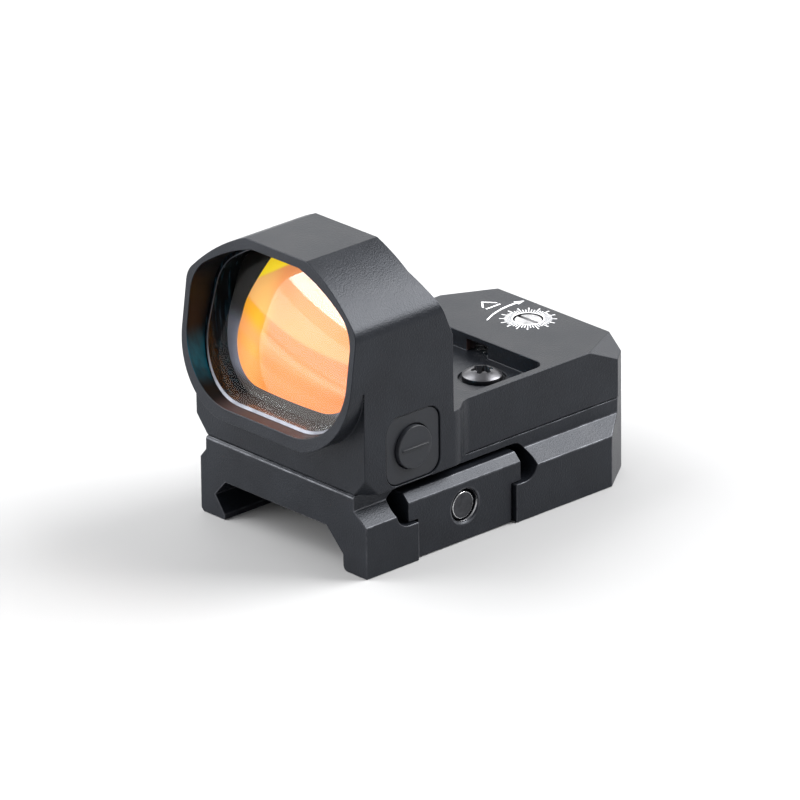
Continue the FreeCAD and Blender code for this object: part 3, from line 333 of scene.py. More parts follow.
def coat_colour_and_painted_reflections(shader, left, painted_gold_reflection):
    """Amber coat with painted reflections: pale upper half, deeper curved bands and orange foot,
    paler to the left; gold corner.
    """
    height = shader.along((0, 0, 1))
    reach = shader.distance((10.8 * MM, 0, 94.1 * MM), (1, 0, 1))
    far_left = shader.spread(shader.along((1, 0, 0)), 1, 0, -7.5 * MM, -4.5 * MM, smooth=True)
    foot = shader.blend(shader.spread(height, 0, 1, 12 * MM, 16.5 * MM, smooth=True),
                        (1.0, 0.225, 0.04), (1.0, 0.245, 0.055))
    upper = shader.blend(far_left, (1.0, 0.33, 0.095), (1.0, 0.50, 0.13))
    upper_half = shader.spread(reach, 1, 0, 74.9 * MM, 75.6 * MM, smooth=True)
    colour = shader.blend(upper_half, foot, upper)
    # Paler to the left: painted light where the hood shadows the coat.
    colour = shader.blend(shader.math("MULTIPLY", left, 0.55), colour, (1.0, 0.50, 0.16))
    painted_upper_band = shader.blend(far_left, (1.0, 0.20, 0.03), (1.0, 0.42, 0.015))
    painted_lower_band = shader.blend(far_left, (1.0, 0.205, 0.025), (1.0, 0.38, 0.08))
    # Painted reflections: two deeper curved bands across the coat.
    bands = ((painted_upper_band, 75.0 * MM, 75.5 * MM, 76.2 * MM, 78.2 * MM),
             (painted_lower_band, 78.4 * MM, 79.4 * MM, 79.8 * MM, 80.6 * MM))
    for deeper, begins, full, fades, ends in bands:
        rise = shader.spread(reach, 0, 1, begins, full, smooth=True)
        fall = shader.spread(reach, 1, 0, fades, ends, smooth=True)
        colour = shader.blend(shader.math("MULTIPLY", rise, fall), colour, deeper)
    # Painted reflection: the gold corner at the top left.
    return shader.blend(painted_gold_reflection, colour, (1.0, 0.68, 0.01))


def amber_coat():
    """Dichroic coat from ahead: amber with painted reflections, a little white gloss and a painted
    glow; nearly clear from behind.
    """
    gloss = 0.07
    shader = Shader("amber_coat")
    # Painted light towards the left, where the hood shadows the coat: it pales the colour and
    # raises the painted glow.
    left = shader.spread(shader.along((1, 0, 0)), 1, 0, -9.5 * MM, -3.0 * MM, smooth=True)
    # Painted reflection: a gold corner at the top left of the coat.
    painted_gold_reflection = shader.spread(shader.along((-0.52, 0, 0.854)), 0, 1, 25.2 * MM, 25.6 * MM,
                                smooth=True)
    colour = coat_colour_and_painted_reflections(shader, left, painted_gold_reflection)
    # Painted glow: the coat gives off light in its own colour, faintly everywhere and most at the
    # gold corner and to the left.
    painted_glow = shader.math("MAXIMUM", painted_gold_reflection, shader.math("MULTIPLY", left, 0.45))
    film = shader.principled(Base_Color=colour, Roughness=0.3, Specular_IOR_Level=0.1,
                             Emission_Color=colour,
                             Emission_Strength=shader.spread(painted_glow, 0.13, 0.5, 0, 1))
    white = shader.node("ShaderNodeBsdfGlossy")
    white.inputs["Color"].default_value = (1, 1, 1, 1)
    white.inputs["Roughness"].default_value = 0.03
    mirror = shader.mix(gloss, film, white.outputs[0])
    through = shader.node("ShaderNodeBsdfTransparent")
    through.inputs["Color"].default_value = (0.55, 0.80, 0.90, 1)
    seen_from_behind = shader.node("ShaderNodeNewGeometry").outputs["Backfacing"]
    clear = shader.spread(seen_from_behind, 0.03, 0.85, 0, 1)
    return shader.finish(shader.mix(clear, mirror, through.outputs[0]))


def coat_back():
    """The coat as the shooter sees it: nearly clear, faintly blue, a little amber glow."""
    shader = Shader("coat_back")
    haze = shader.noise(6 * MM, detail=3)
    metal = shader.principled(
        Base_Color=shader.blend(shader.spread(haze, 0, 1), (0.55, 0.42, 0.25), (0.65, 0.5, 0.3)),
        Metallic=1.0, Roughness=0.08)
    through = shader.node("ShaderNodeBsdfTransparent")
    through.inputs["Color"].default_value = (0.62, 0.82, 0.90, 1)
    return shader.finish(shader.mix(0.88, metal, through.outputs[0]))


def lens_border():
    """Uncoated border of the lens: fine ground glass, violet grey to brown below, and darkened
    towards the top by a painted dark reflection.
    """
    shader = Shader("lens_border")
    height = shader.along((0, 0, 1))
    base = shader.blend(shader.spread(height, 0, 1, 12.3 * MM, 14.5 * MM, smooth=True),
                        (0.034, 0.021, 0.017), (0.26, 0.26, 0.33))
    # Painted dark reflection: the border goes near black towards the top.
    painted_dark_reflection = shader.blend(shader.spread(height, 0, 1, 17.5 * MM, 20.5 * MM, smooth=True),
                         base, (0.010, 0.007, 0.006))
    haze = shader.noise(1.5 * MM, detail=3)
    return shader.finish(shader.principled(
        Base_Color=painted_dark_reflection, Roughness=shader.spread(haze, 0.32, 0.45)))


def edge_black():
    """Blackened glass edge with blue green streaks of reflected light."""
    shader = Shader("edge_black")
    streaks = shader.noise(0.5 * MM, 3, (1, 1, 9))
    colour = shader.blend(shader.spread(streaks, 0, 1, 0.5, 0.75),
                          (0.002, 0.002, 0.003), (0.006, 0.03, 0.045))
    foot = shader.spread(shader.along((0, 0, 1)), 1, 0, 11.2 * MM, 11.9 * MM, smooth=True)
    colour = shader.blend(foot, colour, (0.08, 0.056, 0.048))
    return shader.finish(shader.principled(
        Base_Color=colour, Roughness=shader.spread(streaks, 0.15, 0.3),
        Specular_IOR_Level=0.2))


def red_diode():
    """Clear red epoxy over the chip."""
    shader = Shader("diode_red")
    glow = shader.spread(shader.noise(0.3 * MM), 0, 1)
    return shader.finish(shader.principled(
        Base_Color=shader.blend(glow, (0.35, 0.01, 0.01), (0.7, 0.04, 0.02)), Roughness=0.2))


# ---------------------------------------------------------------- mesh building blocks

def middle_of(node):
    """Middle of a CAD node's box."""
    low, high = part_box(node)
    return (low + high) / 2


def piece(name, mesh, body, materials, replaced=()):
    """Object for a finished mesh, riding on its body and finished with the given materials."""
    thing = bpy.data.objects.new(name, mesh)
    bpy.context.scene.collection.objects.link(thing)
    for material in materials:
        mesh.materials.append(material)
    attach(thing, body)
    if replaced:
        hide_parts(*replaced)
    return thing


def lofted(name, loops, ring=False):
    """Closed smooth mesh through loops of equal length; a ring's last loop joins its first."""
    build = bmesh.new()
    rows = [[build.verts.new(point) for point in loop] for loop in loops]
    count = len(rows[0])
    pairs = list(zip(rows, rows[1:] + rows[:1])) if ring else list(zip(rows, rows[1:]))
    for first, second in pairs:
        for index in range(count):
            following = (index + 1) % count
            build.faces.new((first[index], first[following], second[following], second[index]))
    if not ring:
        build.faces.new(reversed(rows[0]))
        build.faces.new(rows[-1])
    bmesh.ops.recalc_face_normals(build, faces=build.faces)
    mesh = bpy.data.meshes.new(name)
    build.to_mesh(mesh)
    build.free()
    return mesh


def shade_by_angle(mesh, degrees=30):
    """Smooth shading that keeps edges sharper than this."""
    mesh.shade_smooth()
    mesh.set_sharp_from_angle(angle=math.radians(degrees))


EDGE_ANGLE = 22
FLAT_ANGLE = 0.5
WELD_DISTANCE = 0.002 * MM
WIDEST_ROUND = 20.0


def soft_edged(node, width, materials, pick=None, wider=None):
    """The CAD node's own shape with its edges broken by a small round.

    materials are the face finish, the edge finish and any more that pick chooses by face;
    wider gives how many times the width the round of an edge is.
    """
    source = nodes[node]
    build = bmesh.new()
    build.from_mesh(source.data)
    bmesh.ops.remove_doubles(build, verts=build.verts, dist=WELD_DISTANCE)
    bmesh.ops.dissolve_limit(build, angle_limit=math.radians(FLAT_ANGLE), verts=build.verts,
                             edges=build.edges)
    mesh = bpy.data.meshes.new(node + "_finished")
    for face in build.faces:
        face.smooth = True
        face.material_index = pick(face) if pick else 0
    shares = build.edges.layers.float.new("bevel_weight_edge")
    for edge in build.edges:
        if edge.calc_face_angle(0) > math.radians(EDGE_ANGLE):
            edge[shares] = (wider(edge) if wider else 1.0) / WIDEST_ROUND
    build.to_mesh(mesh)
    build.free()
    thing = piece(node + "_finished", mesh, source["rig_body"], materials, (node,))
    bevel = thing.modifiers.new("edge_break", "BEVEL")
    bevel.width = width * WIDEST_ROUND
    bevel.segments = 3 if wider else 2
    bevel.limit_method = "WEIGHT"
    bevel.use_clamp_overlap = False
    bevel.miter_outer = "MITER_SHARP"
    if pick is None:
        bevel.material = 1
    shading = thing.modifiers.new("face_weights", "WEIGHTED_NORMAL")
    shading.mode = "FACE_AREA"
    shading.weight = 60


# ---------------------------------------------------------------- lens

def lens_outline():
    """Edge of the lens read from the CAD front element, evenly spaced, as (x, z) points."""
    corners = [vertex.co for vertex in nodes["lens_front_element"].data.vertices]
    front = min(point.y - LEAN * point.z for point in corners)
    rim = {(round(p.x, 7), round(p.z, 7)) for p in corners
           if p.y - LEAN * p.z < front + 0.003 * MM}
    middle = Vector((0, sum(p[1] for p in rim) / len(rim)))
    ordered = sorted((Vector(p) for p in rim),
                     key=lambda p: math.atan2(p.y - middle.y, p.x - middle.x))
    lengths = [(ordered[i] - ordered[i - 1]).length for i in range(len(ordered))]
    step = sum(lengths) / OUTLINE_POINTS
    points = []
    travelled = 0.0
    for index, length in enumerate(lengths):
        while len(points) * step < travelled + length and len(points) < OUTLINE_POINTS:
            share = (len(points) * step - travelled) / max(length, 1e-9)
            points.append(ordered[index - 1].lerp(ordered[index], share))
        travelled += length
    return points, middle


def outward(points, index):
    """Outward normal of an anticlockwise outline at a point."""
    along = points[(index + 1) % len(points)] - points[index - 1]
    return Vector((along.y, -along.x)).normalized()


def inset(points, amount):
    """Outline moved inwards by an amount, or by one worked out from each normal."""
    moved = []
    for index, point in enumerate(points):
        normal = outward(points, index)
        size = amount(normal) if callable(amount) else amount
        moved.append(point - normal * size)
    return moved


def shrunk(points, middle, share):
    """Outline drawn in towards the middle."""
    return [middle + (point - middle) * share for point in points]


def on_plane(points, start):
    """Loop on one of the lens's leaning planes."""
    return [Vector((p.x, start + LEAN * p.y, p.y)) for p in points]


def on_coat(points, middle, shift=0.0):
    """Loop on the coat's sphere, moved rearwards by shift."""
    lean = math.atan(LEAN)
    front = Vector((0, LENS_FRONT + LEAN * middle.y, middle.y))
    rearwards = Vector((0, math.cos(lean), -math.sin(lean)))
    centre = front + rearwards * (COAT_DEPTH + COAT_RADIUS)
    loop = []
    for p in points:
        across = p.x ** 2 + (p.y - centre.z) ** 2
        loop.append(Vector((p.x, centre.y - math.sqrt(COAT_RADIUS ** 2 - across) + shift, p.y)))
    return loop


DOME_RINGS = 16
SHARES = [1 - step / DOME_RINGS for step in range(DOME_RINGS)]
BORDER = 2.6 * MM
GAP = 0.05 * MM


def coat_layer(name, outline, middle, low, high):
    """Thin domed film that follows the coat's sphere between two shifts."""
    loops = [on_coat(shrunk(outline, middle, share), middle, low) for share in reversed(SHARES)]
    loops += [on_coat(shrunk(outline, middle, share), middle, high) for share in SHARES]
    return lofted(name, loops)


def border_width(normal):
    """Width of the uncoated border, narrower along the top and the foot."""
    return BORDER - 1.4 * MM * abs(normal.y)


def coat_outline(outline, middle, extra=0.0):
    """Edge of the coat: the lens's outline drawn in, its upper corners cut softly across."""
    points = inset(outline, lambda normal: border_width(normal) + extra)
    reach = 10.1 * MM - extra
    softness = 0.5 * MM
    trimmed = []
    for point in points:
        ray = Vector((math.copysign(0.9, point.x), 0.434))
        over = (point - middle).dot(ray) - reach
        trimmed.append(point - ray * (over + math.hypot(over, softness)) / 2)
    return trimmed


def build_lens(outline, middle):
    """Front and rear glass, the coat between them and the uncoated border round the coat."""
    domed = [on_coat(shrunk(outline, middle, share), middle, -GAP) for share in SHARES]
    front = lofted("lens_front_glass", [on_plane(outline, LENS_FRONT)] + domed)
    hollow = [on_coat(shrunk(outline, middle, share), middle, GAP) for share in SHARES]
    rear = lofted("lens_rear_glass", [on_plane(outline, LENS_REAR)] + hollow)
    inner = coat_outline(outline, middle)
    edge = coat_outline(outline, middle, 0.02 * MM)
    film = coat_layer("lens_coat", edge, middle, -0.01 * MM, 0.01 * MM)
    border = lofted("lens_border", [
        on_coat(outline, middle, -0.03 * MM), on_coat(inner, middle, -0.03 * MM),
        on_coat(inner, middle, 0.03 * MM), on_coat(outline, middle, 0.03 * MM)], ring=True)
    glass = clear_glass("front_glass", (0.97, 0.985, 0.985))
    rear_glass = clear_glass("rear_glass", (0.90, 0.97, 0.98))
    for face in film.polygons:
        looks_rearwards = face.normal.y > 0.3
        face.material_index = 1 if looks_rearwards else 0
    for mesh, slot, materials, replaced in (
            (front, "front_glass", [glass], ("lens_front_element",)),
            (rear, "coated_glass", [rear_glass], ("lens_rear_element",)),
            (film, "coated_glass", [amber_coat(), coat_back()], ()),
            (border, "coated_glass", [lens_border()], ())):
        shade_by_angle(mesh)
        piece(mesh.name, mesh, "sight", materials, replaced)


def build_bezel(outline):
    """Black seat and the bright bevel inside it, hardly there but along the bottom."""
    clearance = 0.33 * MM

    def foot(normal):
        return max(0.0, -normal.y) ** 1.5

    def seat(normal):
        return 0.42 * MM * (1 - foot(normal)) - clearance

    def opening(normal):
        return seat(normal) + 0.12 * MM + 0.20 * MM * foot(normal)

    outer = inset(outline, -clearance)
    rise = [0.10 * MM + 0.10 * MM * foot(outward(outline, index))
            for index in range(len(outline))]
    lip, step = [[point - Vector((0, extra, 0)) for point, extra in zip(loop, rise)]
                 for loop in (on_plane(outer, LENS_FRONT),
                              on_plane(inset(outline, seat), LENS_FRONT))]
    inner = inset(outline, opening)
    mesh = lofted("lens_bezel_ring", [
        lip, step, on_plane(inner, LENS_FRONT - 0.06 * MM),
        on_plane(inner, LENS_FRONT - 0.02 * MM), on_plane(outer, LENS_FRONT - 0.02 * MM)],
        ring=True)
    for index, face in enumerate(mesh.polygons):
        face.material_index = 1 if index < OUTLINE_POINTS else 0
    shade_by_angle(mesh)
    silver = plain_metal("bezel_silver", (0.085, 0.088, 0.10), (0.15, 0.155, 0.175), 0.4)
    piece("lens_bezel_ring", mesh, "sight", [silver, edge_black()],
          ("lens_bezel",))


# ---------------------------------------------------------------- marks on the deck

DECK_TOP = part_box("elevation_screw")[1].z + 0.08 * MM
MARK_SUNK = 0.02 * MM
MARK_PROUD = 0.015 * MM
MAJOR_TICKS = 16
MINORS_BETWEEN = 2


def add_prism(build, corners):
    """Thin mark with this outline, given anticlockwise, let into the deck."""
    low = [build.verts.new((x, y, DECK_TOP - MARK_SUNK)) for x, y in corners]
    high = [build.verts.new((x, y, DECK_TOP + MARK_PROUD)) for x, y in corners]
    build.faces.new(reversed(low))
    build.faces.new(high)
    for index in range(len(corners)):
        following = (index + 1) % len(corners)
        build.faces.new((low[index], low[following], high[following], high[index]))


def mark_piece(name, build, material):
    """Piece for a finished mark on the deck."""
    mesh = bpy.data.meshes.new(name)
    build.to_mesh(mesh)
    build.free()
    piece(name, mesh, "sight", [material])


def ray_at(angle):
    """Direction at this angle on the deck."""
    return Vector((math.cos(angle), math.sin(angle)))


def dial_centre():
    """Axis of the elevation screw, as x and y."""
    middle = middle_of("elevation_screw")
    return middle.x, middle.y


def build_dial(material):
    """Ring of ticks round the elevation screw, every third one longer, and the rim inside it."""
    centre = Vector(dial_centre())
    build = bmesh.new()
    total = MAJOR_TICKS * (MINORS_BETWEEN + 1)
    for number in range(total):
        major = number % (MINORS_BETWEEN + 1) == 0
        ray = ray_at(2 * math.pi * number / total)
        side = Vector((-ray.y, ray.x))
        inner, outer = 2.05 * MM, (3.42 if major else 2.85) * MM
        thin, wide = 0.045 * MM, (0.085 if major else 0.07) * MM
        corners = [ray * inner - side * thin, ray * outer - side * wide,
                   ray * outer + side * wide, ray * inner + side * thin]
        add_prism(build, [centre + corner for corner in corners])
    mark_piece("dial_ticks", build, material)
    rim = bmesh.new()
    inner, outer, steps = 1.83 * MM, 2.0 * MM, 72
    for number in range(steps):
        start = ray_at(2 * math.pi * number / steps)
        end = ray_at(2 * math.pi * (number + 1) / steps)
        corners = [start * inner, start * outer, end * outer, end * inner]
        add_prism(rim, [centre + corner for corner in corners])
    bmesh.ops.remove_doubles(rim, verts=rim.verts, dist=0.001 * MM)
    mark_piece("dial_rim", rim, material)


def build_arrow(material):
    """Curved arrow beside the dial, its head towards the rear."""
    x, y = dial_centre()
    centre = Vector((x + 6.4 * MM, y + 1.8 * MM))
    radius = 10.97 * MM
    start, end = math.radians(-149.5), math.radians(177)
    sweep = (end - start) % (-2 * math.pi)
    steps = 18
    build = bmesh.new()
    line = []
    for number in range(steps + 1):
        share = number / steps
        half = (0.09 + 0.09 * share) * MM
        direction = ray_at(start + sweep * share)
        line.append((centre + direction * (radius - half), centre + direction * (radius + half)))
    for (inner, outer), (next_inner, next_outer) in zip(line, line[1:]):
        add_prism(build, (inner, next_inner, next_outer, outer))
    tip_angle = end - 1.25 * MM / radius
    half_head = 0.5 * MM
    add_prism(build, (centre + ray_at(end) * (radius - half_head),
                      centre + ray_at(tip_angle) * radius,
                      centre + ray_at(end) * (radius + half_head)))
    bmesh.ops.recalc_face_normals(build, faces=build.faces)
    mark_piece("turn_arrow", build, material)


def build_raise_symbol(material):
    """Generic raise sign beside the arrow: a chevron over a bar."""
    x, y = dial_centre()
    centre = Vector((x - 6.9 * MM, y - 0.3 * MM))
    build = bmesh.new()
    stroke, reach, rise, bar_start = 0.25 * MM, 1.15 * MM, 0.85 * MM, 1.1 * MM
    for sign in (1, -1):
        corners = [(-rise, sign * reach), (-rise + stroke * 1.4, sign * reach),
                   (rise, 0), (rise - stroke * 1.4, 0)]
        if sign < 0:
            corners.reverse()
        add_prism(build, [(centre.x - a, centre.y + b) for a, b in corners])
    bar = [(bar_start, -reach), (bar_start + stroke, -reach), (bar_start + stroke, reach),
           (bar_start, reach)]
    add_prism(build, [(centre.x + a, centre.y + b) for a, b in bar])
    bmesh.ops.recalc_face_normals(build, faces=build.faces)
    mark_piece("raise_symbol", build, material)


# ---------------------------------------------------------------- clamp details

def build_jaw_thread(material):
    """The one turn of thread that shows in the jaw past the bolt's end."""
    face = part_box("clamp_jaw")[1].x
    axis = middle_of("cross_bolt")
    axis.x = 0
    pitch, turns, steps = 0.7 * MM, 1.15, 56
    root, crest, half = 2.04 * MM, 1.96 * MM, 0.15 * MM
    run_in = 8
    start = face - 0.98 * MM
    build = bmesh.new()
    rows = []
    for number in range(steps + 1):
        share = number / steps
        angle = 2 * math.pi * turns * share
        ray = Vector((0, math.cos(angle), math.sin(angle)))
        x = start + pitch * turns * share
        fade = min(1.0, run_in * share, run_in * (1 - share))
        top = root + (crest - root) * max(fade, 0.02)
        rows.append([build.verts.new(axis + ray * radius + Vector((place, 0, 0)))
                     for radius, place in ((root, x - half), (top, x), (root, x + half))])
    for first, second in zip(rows, rows[1:]):
        for index in range(3):
            following = (index + 1) % 3
            build.faces.new((first[index], second[index], second[following], first[following]))
    build.faces.new(rows[0])
    build.faces.new(reversed(rows[-1]))
    bmesh.ops.recalc_face_normals(build, faces=build.faces)
    mesh = bpy.data.meshes.new("jaw_thread")
    build.to_mesh(mesh)
    build.free()
    shade_by_angle(mesh, 50)
    piece("jaw_thread", mesh, "clamp_jaw", [material])


# ---------------------------------------------------------------- finishes on the CAD nodes

def housing_finish(face):
    """Which finish a face has: lacquer in the lens tunnel and in the housing's cavities."""
    film, lacquer = 0, 2
    place = face.calc_center_median()
    low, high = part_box("lens_bezel")
    slack = 0.05 * MM
    tunnel_end = -2.2 * MM
    tunnel = (abs(place.x) < high.x + slack and low.z - slack < place.z < high.z + slack
              and place.y < tunnel_end)
    if tunnel:
        inwards = Vector((-place.x, 0, (low.z + high.z) / 2 - place.z))
        if face.normal.dot(inwards.normalized()) > 0.3:
            return lacquer
    slider_low, slider_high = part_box("windage_slider")
    cave = (slider_low.y - 1.4 * MM < place.y < slider_high.y + 0.3 * MM
            and place.z < DECK_TOP - 0.4 * MM and abs(place.x) < 9.5 * MM)
    return lacquer if cave else film


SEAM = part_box("sight_housing")[0].z


def housing_rounds(edge):
    """How many times the usual width an edge's round is: most along the hood's shoulders."""
    along_seam, along_shoulder, elsewhere = 2.5, 18.0, 1.0
    shoulder_x = 14.2 * MM
    middle = (edge.verts[0].co + edge.verts[1].co) / 2
    if abs(middle.z - SEAM) < 0.05 * MM:
        return along_seam
    if middle.z < DECK_TOP + 2 * MM or len(edge.link_faces) != 2:
        return elsewhere
    one, other = [face.normal for face in edge.link_faces]
    outer = abs(middle.x) > shoulder_x and one.x * middle.x > 0 and other.x * middle.x > 0
    along = (edge.verts[1].co - edge.verts[0].co).normalized()
    if outer and abs(along.y) > 0.95:
        return along_shoulder
    return elsewhere


FILM_DARK, FILM_LIGHT = (0.008, 0.0095, 0.0135), (0.014, 0.0165, 0.022)


def redraw_outer_nodes(bright):
    """Soft edged copies of the nodes whose edges show."""
    housing_film = anodise("anodised_housing", FILM_DARK, FILM_LIGHT, 0.36, 0.43)
    mount_film = anodise("anodised_mount", FILM_DARK, FILM_LIGHT, 0.37, 0.44)
    edge = rubbed_edge("rubbed_edge", (0.022, 0.024, 0.03), (0.07, 0.074, 0.085))
    rubber = moulded("button_rubber", (0.007, 0.0085, 0.012), (0.011, 0.013, 0.018), 0.46, 0.56)
    screw_steel = plain_metal("screw_steel", (0.09, 0.09, 0.095), (0.14, 0.14, 0.15), 0.36)
    bolt_steel = turned_metal("bolt_steel", (0.035, 0.036, 0.04), (0.06, 0.062, 0.068), 0.38,
                              middle_of("cross_bolt"), (0, 1, 1))
    soft_edged("sight_housing", 0.10 * MM, [housing_film, edge, bore_lacquer()],
               pick=housing_finish, wider=housing_rounds)
    soft_edged("rail_base", 0.12 * MM, [mount_film, edge])
    soft_edged("clamp_jaw", 0.12 * MM, [mount_film, edge])
    soft_edged("cross_bolt", 0.05 * MM, [bolt_steel, bright])
    soft_edged("mounting_screws", 0.03 * MM, [screw_steel, screw_steel])
    for side in ("left", "right"):
        soft_edged("button_pad_" + side, 0.16 * MM, [rubber, rubber])
        soft_edged("button_cap_" + side, 0.10 * MM, [rubber, rubber])


def finish_other_nodes(bright):
    """New materials for the CAD nodes that are shown as they are."""
    elevation_steel = turned_metal("adjuster_steel", (0.42, 0.42, 0.43), (0.66, 0.66, 0.67), 0.36,
                                   middle_of("elevation_screw"), (1, 1, 0))
    windage_steel = turned_metal("windage_steel", (0.17, 0.17, 0.175), (0.28, 0.28, 0.285), 0.38,
                                 middle_of("windage_screw"), (0, 1, 1))
    plated = plain_metal("cell_steel", (0.5, 0.5, 0.51), (0.68, 0.68, 0.69), 0.22)
    nickel = plain_metal("contact_nickel", (0.5, 0.46, 0.36), (0.68, 0.62, 0.5), 0.28, (1, 12, 1))
    # Near black bronze for the windage slider and emitter carriage: dark metal, darkened further
    # as painted shadow of the port they sit in.
    bronze = plain_metal("slide_bronze", (0.014, 0.012, 0.010), (0.026, 0.022, 0.017), 0.5,
                         (1, 8, 1))
    seal = moulded("seal_rubber", (0.008, 0.008, 0.009), (0.016, 0.016, 0.017), 0.45, 0.6)
    chip = moulded("chip_black", (0.008, 0.008, 0.009), (0.02, 0.02, 0.021), 0.4, 0.55)
    cover = moulded("cover_black", (0.015, 0.015, 0.016), (0.03, 0.03, 0.032), 0.4, 0.5)
    board = circuit_board()
    finishes = {
        "bolt_washer": bright, "locating_pins": bright, "lens_seal": edge_black(),
        "battery": plated, "battery_contact_leaf": nickel, "battery_contact_clip": nickel,
        "battery_gasket": seal, "bottom_cover": cover, "main_board": board,
        "controller_chip": chip, "windage_slider": bronze, "emitter_carriage": bronze,
        "led_emitter": red_diode(), "emitter_window": clear_glass("port_glass", (0.9, 0.93, 0.94)),
        "elevation_screw": elevation_steel, "elevation_oring": seal,
        "windage_screw": windage_steel, "windage_oring": seal,
        "switch_board_left": board, "switch_board_right": board,
    }
    for node, material in finishes.items():
        mesh = nodes[node].data
        mesh.materials.clear()
        mesh.materials.append(material)


def build_pressed_pieces(dome):
    """Springs and snap domes, copied onto the bodies that they ride on.

    The elevation spring goes sideways with the windage slider that it stands on.
    """
    spring = plain_metal("spring_steel", (0.5, 0.5, 0.51), (0.7, 0.7, 0.71), 0.25)
    along_x, along_z = (1, 0, 0), (0, 0, 1)
    sprung = (
        ("elevation_spring", "windage_slider", "elevation_slide", along_z, "high", 0.85),
        ("windage_spring", "sight", "windage_slide", along_x, "low", 0.92),
        ("snap_dome_left", "sight", "button_left_press", along_x, "low", 0.3),
        ("snap_dome_right", "sight", "button_right_press", along_x, "high", 0.3),
    )
    for node, body, joint, axis, fixed_end, keep in sprung:
        slot, steel = (("spring_steel", spring) if node.endswith("spring")
                       else ("bright_steel", dome))
        mesh = nodes[node].data.copy()
        mesh.materials.clear()
        thing = piece(node + "_pressed", mesh, body, [steel], (node,))
        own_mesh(thing)


# ---------------------------------------------------------------- stage, lights and camera

def build_stage():
    """Plain pale floor under the clamp."""
    floor_z, gap, radius = cad_bounds[0].z, 0.02 * MM, 1.6
    build = bmesh.new()
    bmesh.ops.create_circle(build, cap_ends=True, segments=96, radius=radius)
    mesh = bpy.data.meshes.new("studio_floor")
    build.to_mesh(mesh)
    build.free()
    floor = bpy.data.objects.new("studio_floor", mesh)
    floor.location = (0, 0, floor_z - gap)
    bpy.context.scene.collection.objects.link(floor)
    shader = Shader("studio_floor")
    tone = shader.noise(0.3, 2)
    mesh.materials.append(shader.finish(shader.principled(
        Base_Color=shader.blend(tone, (0.40, 0.40, 0.404), (0.42, 0.42, 0.42)),
        Roughness=0.7)))


def softbox(name, place, target, width, height, brightness):
    """Rectangular light whose face shines with this brightness, whatever its size."""
    light = bpy.data.lights.new(name, "AREA")
    light.shape = "RECTANGLE"
    light.size = width
    light.size_y = height
    light.energy = brightness * math.pi * width * height
    lamp = bpy.data.objects.new(name, light)
    lamp.location = place
    facing = Vector(target) - Vector(place)
    lamp.rotation_euler = facing.to_track_quat("-Z", "Y").to_euler()
    bpy.context.scene.collection.objects.link(lamp)


def towards(azimuth, elevation, distance, start):
    """Place at a distance from start; azimuth 0 is ahead of the lens, 90 is +X."""
    turn, rise = math.radians(azimuth), math.radians(elevation)
    ray = Vector((math.sin(turn) * math.cos(rise), -math.cos(turn) * math.cos(rise),
                  math.sin(rise)))
    return Vector(start) + ray * distance


def build_world():
    """Pale room, brighter ahead of the lens than behind the sight."""
    world = bpy.data.worlds.new("studio_world")
    world.use_nodes = True
    tree = world.node_tree
    place = tree.nodes.new("ShaderNodeTexCoord")
    facing = tree.nodes.new("ShaderNodeVectorMath")
    facing.operation = "DOT_PRODUCT"
    bright_side = (-0.68, -0.73, 0.0)
    facing.inputs[1].default_value = bright_side
    strength = tree.nodes.new("ShaderNodeMapRange")
    strength.interpolation_type = "SMOOTHSTEP"
    strength.inputs["From Min"].default_value = -0.3
    strength.inputs["From Max"].default_value = 0.75
    strength.inputs["To Min"].default_value = 0.25
    strength.inputs["To Max"].default_value = 1.35
    tree.links.new(place.outputs["Generated"], facing.inputs[0])
    tree.links.new(facing.outputs["Value"], strength.inputs["Value"])
    background = tree.nodes["Background"]
    background.inputs["Color"].default_value = (0.985, 0.99, 1.0, 1)
    tree.links.new(strength.outputs["Result"], background.inputs["Strength"])
    bpy.context.scene.world = world


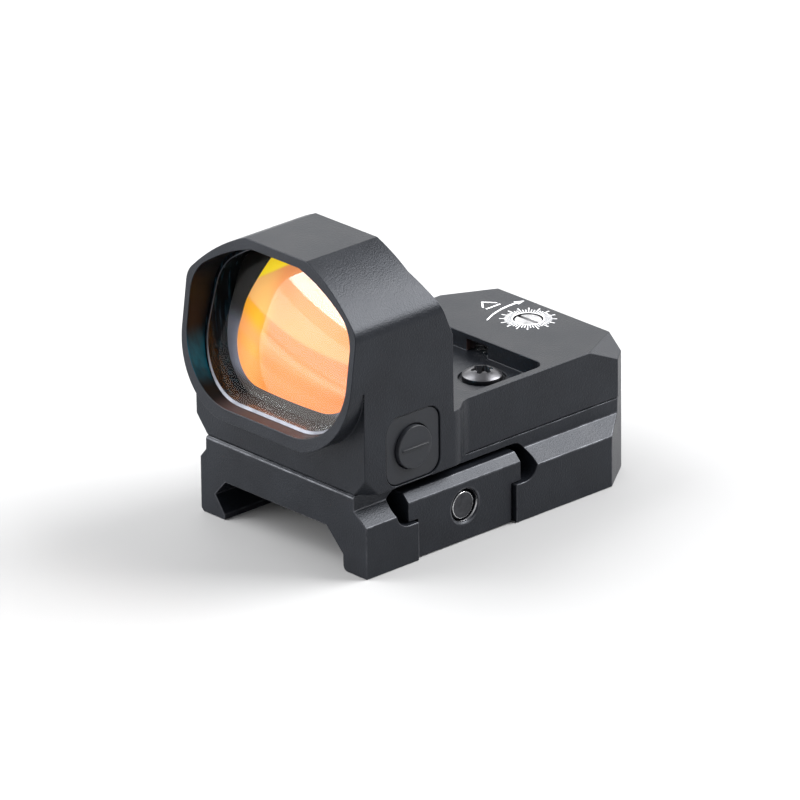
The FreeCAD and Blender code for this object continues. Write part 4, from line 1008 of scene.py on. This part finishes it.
def build_lights():
    """Three boxes behind the sight for its edges and tops, three ahead of the lens."""
    middle = (0, 0.004, 0.010)
    lens = (0, -0.012, 0.020)
    boxes = (
        ("key_box", 149, 43, 0.9, middle, 0.60, 0.60, 14.5),
        ("rim_box", -133, 26, 0.9, middle, 0.70, 0.45, 1.8),
        ("back_box", 184, 20, 0.9, middle, 0.50, 0.35, 3.1),
        ("fill_box", -62, 45, 0.9, middle, 0.60, 0.60, 6.0),
        ("low_card", -47, 1.5, 0.40, lens, 0.56, 0.068, 1.3),
        ("window_box", -37, 18.8, 0.8, lens, 0.50, 0.27, 8.5),
    )
    for name, azimuth, elevation, distance, target, width, height, brightness in boxes:
        place = towards(azimuth, elevation, distance, target)
        softbox(name, place, target, width, height, brightness)


CAMERA_TARGET = Vector((0, 0.004, 0.010))
CAMERA_AZIMUTH, CAMERA_ELEVATION, CAMERA_ROLL = 47.2627, 22.4836, -0.6174
CAMERA_DISTANCE = 1.09714
CAMERA_LENS, CAMERA_SENSOR = 423.82, 36
CAMERA_SHIFT = (-0.00661, -0.02587)


def build_camera():
    """Long lens from the front right, a little above the sight."""
    azimuth, elevation, roll = [math.radians(angle) for angle in (
        CAMERA_AZIMUTH, CAMERA_ELEVATION, CAMERA_ROLL)]
    back = Vector((math.sin(azimuth) * math.cos(elevation),
                   -math.cos(azimuth) * math.cos(elevation), math.sin(elevation)))
    right = Vector((math.cos(azimuth), math.sin(azimuth), 0))
    up = back.cross(right)
    rolled_right = right * math.cos(roll) + up * math.sin(roll)
    rolled_up = back.cross(rolled_right)
    camera = bpy.data.cameras.new("camera")
    camera.lens = CAMERA_LENS
    camera.sensor_width = CAMERA_SENSOR
    camera.shift_x, camera.shift_y = CAMERA_SHIFT
    camera.clip_start = 0.05
    holder = bpy.data.objects.new("camera", camera)
    turn = Matrix((rolled_right, rolled_up, back)).transposed().to_4x4()
    holder.matrix_world = Matrix.Translation(CAMERA_TARGET + back * CAMERA_DISTANCE) @ turn
    bpy.context.scene.collection.objects.link(holder)
    bpy.context.scene.camera = holder


# ---------------------------------------------------------------- build

bright_steel = plain_metal("bright_steel", (0.55, 0.55, 0.56), (0.72, 0.72, 0.73), 0.25)
redraw_outer_nodes(bright_steel)
finish_other_nodes(bright_steel)
build_pressed_pieces(bright_steel)
edge_points, edge_middle = lens_outline()
build_lens(edge_points, edge_middle)
build_bezel(edge_points)
white = paint()
build_dial(white)
build_arrow(white)
build_raise_symbol(white)
build_jaw_thread(plain_metal("thread_steel", (0.12, 0.12, 0.13), (0.6, 0.6, 0.62), 0.28))
build_stage()
build_world()
build_lights()
build_camera()
bpy.context.scene.view_settings.view_transform = "Standard"
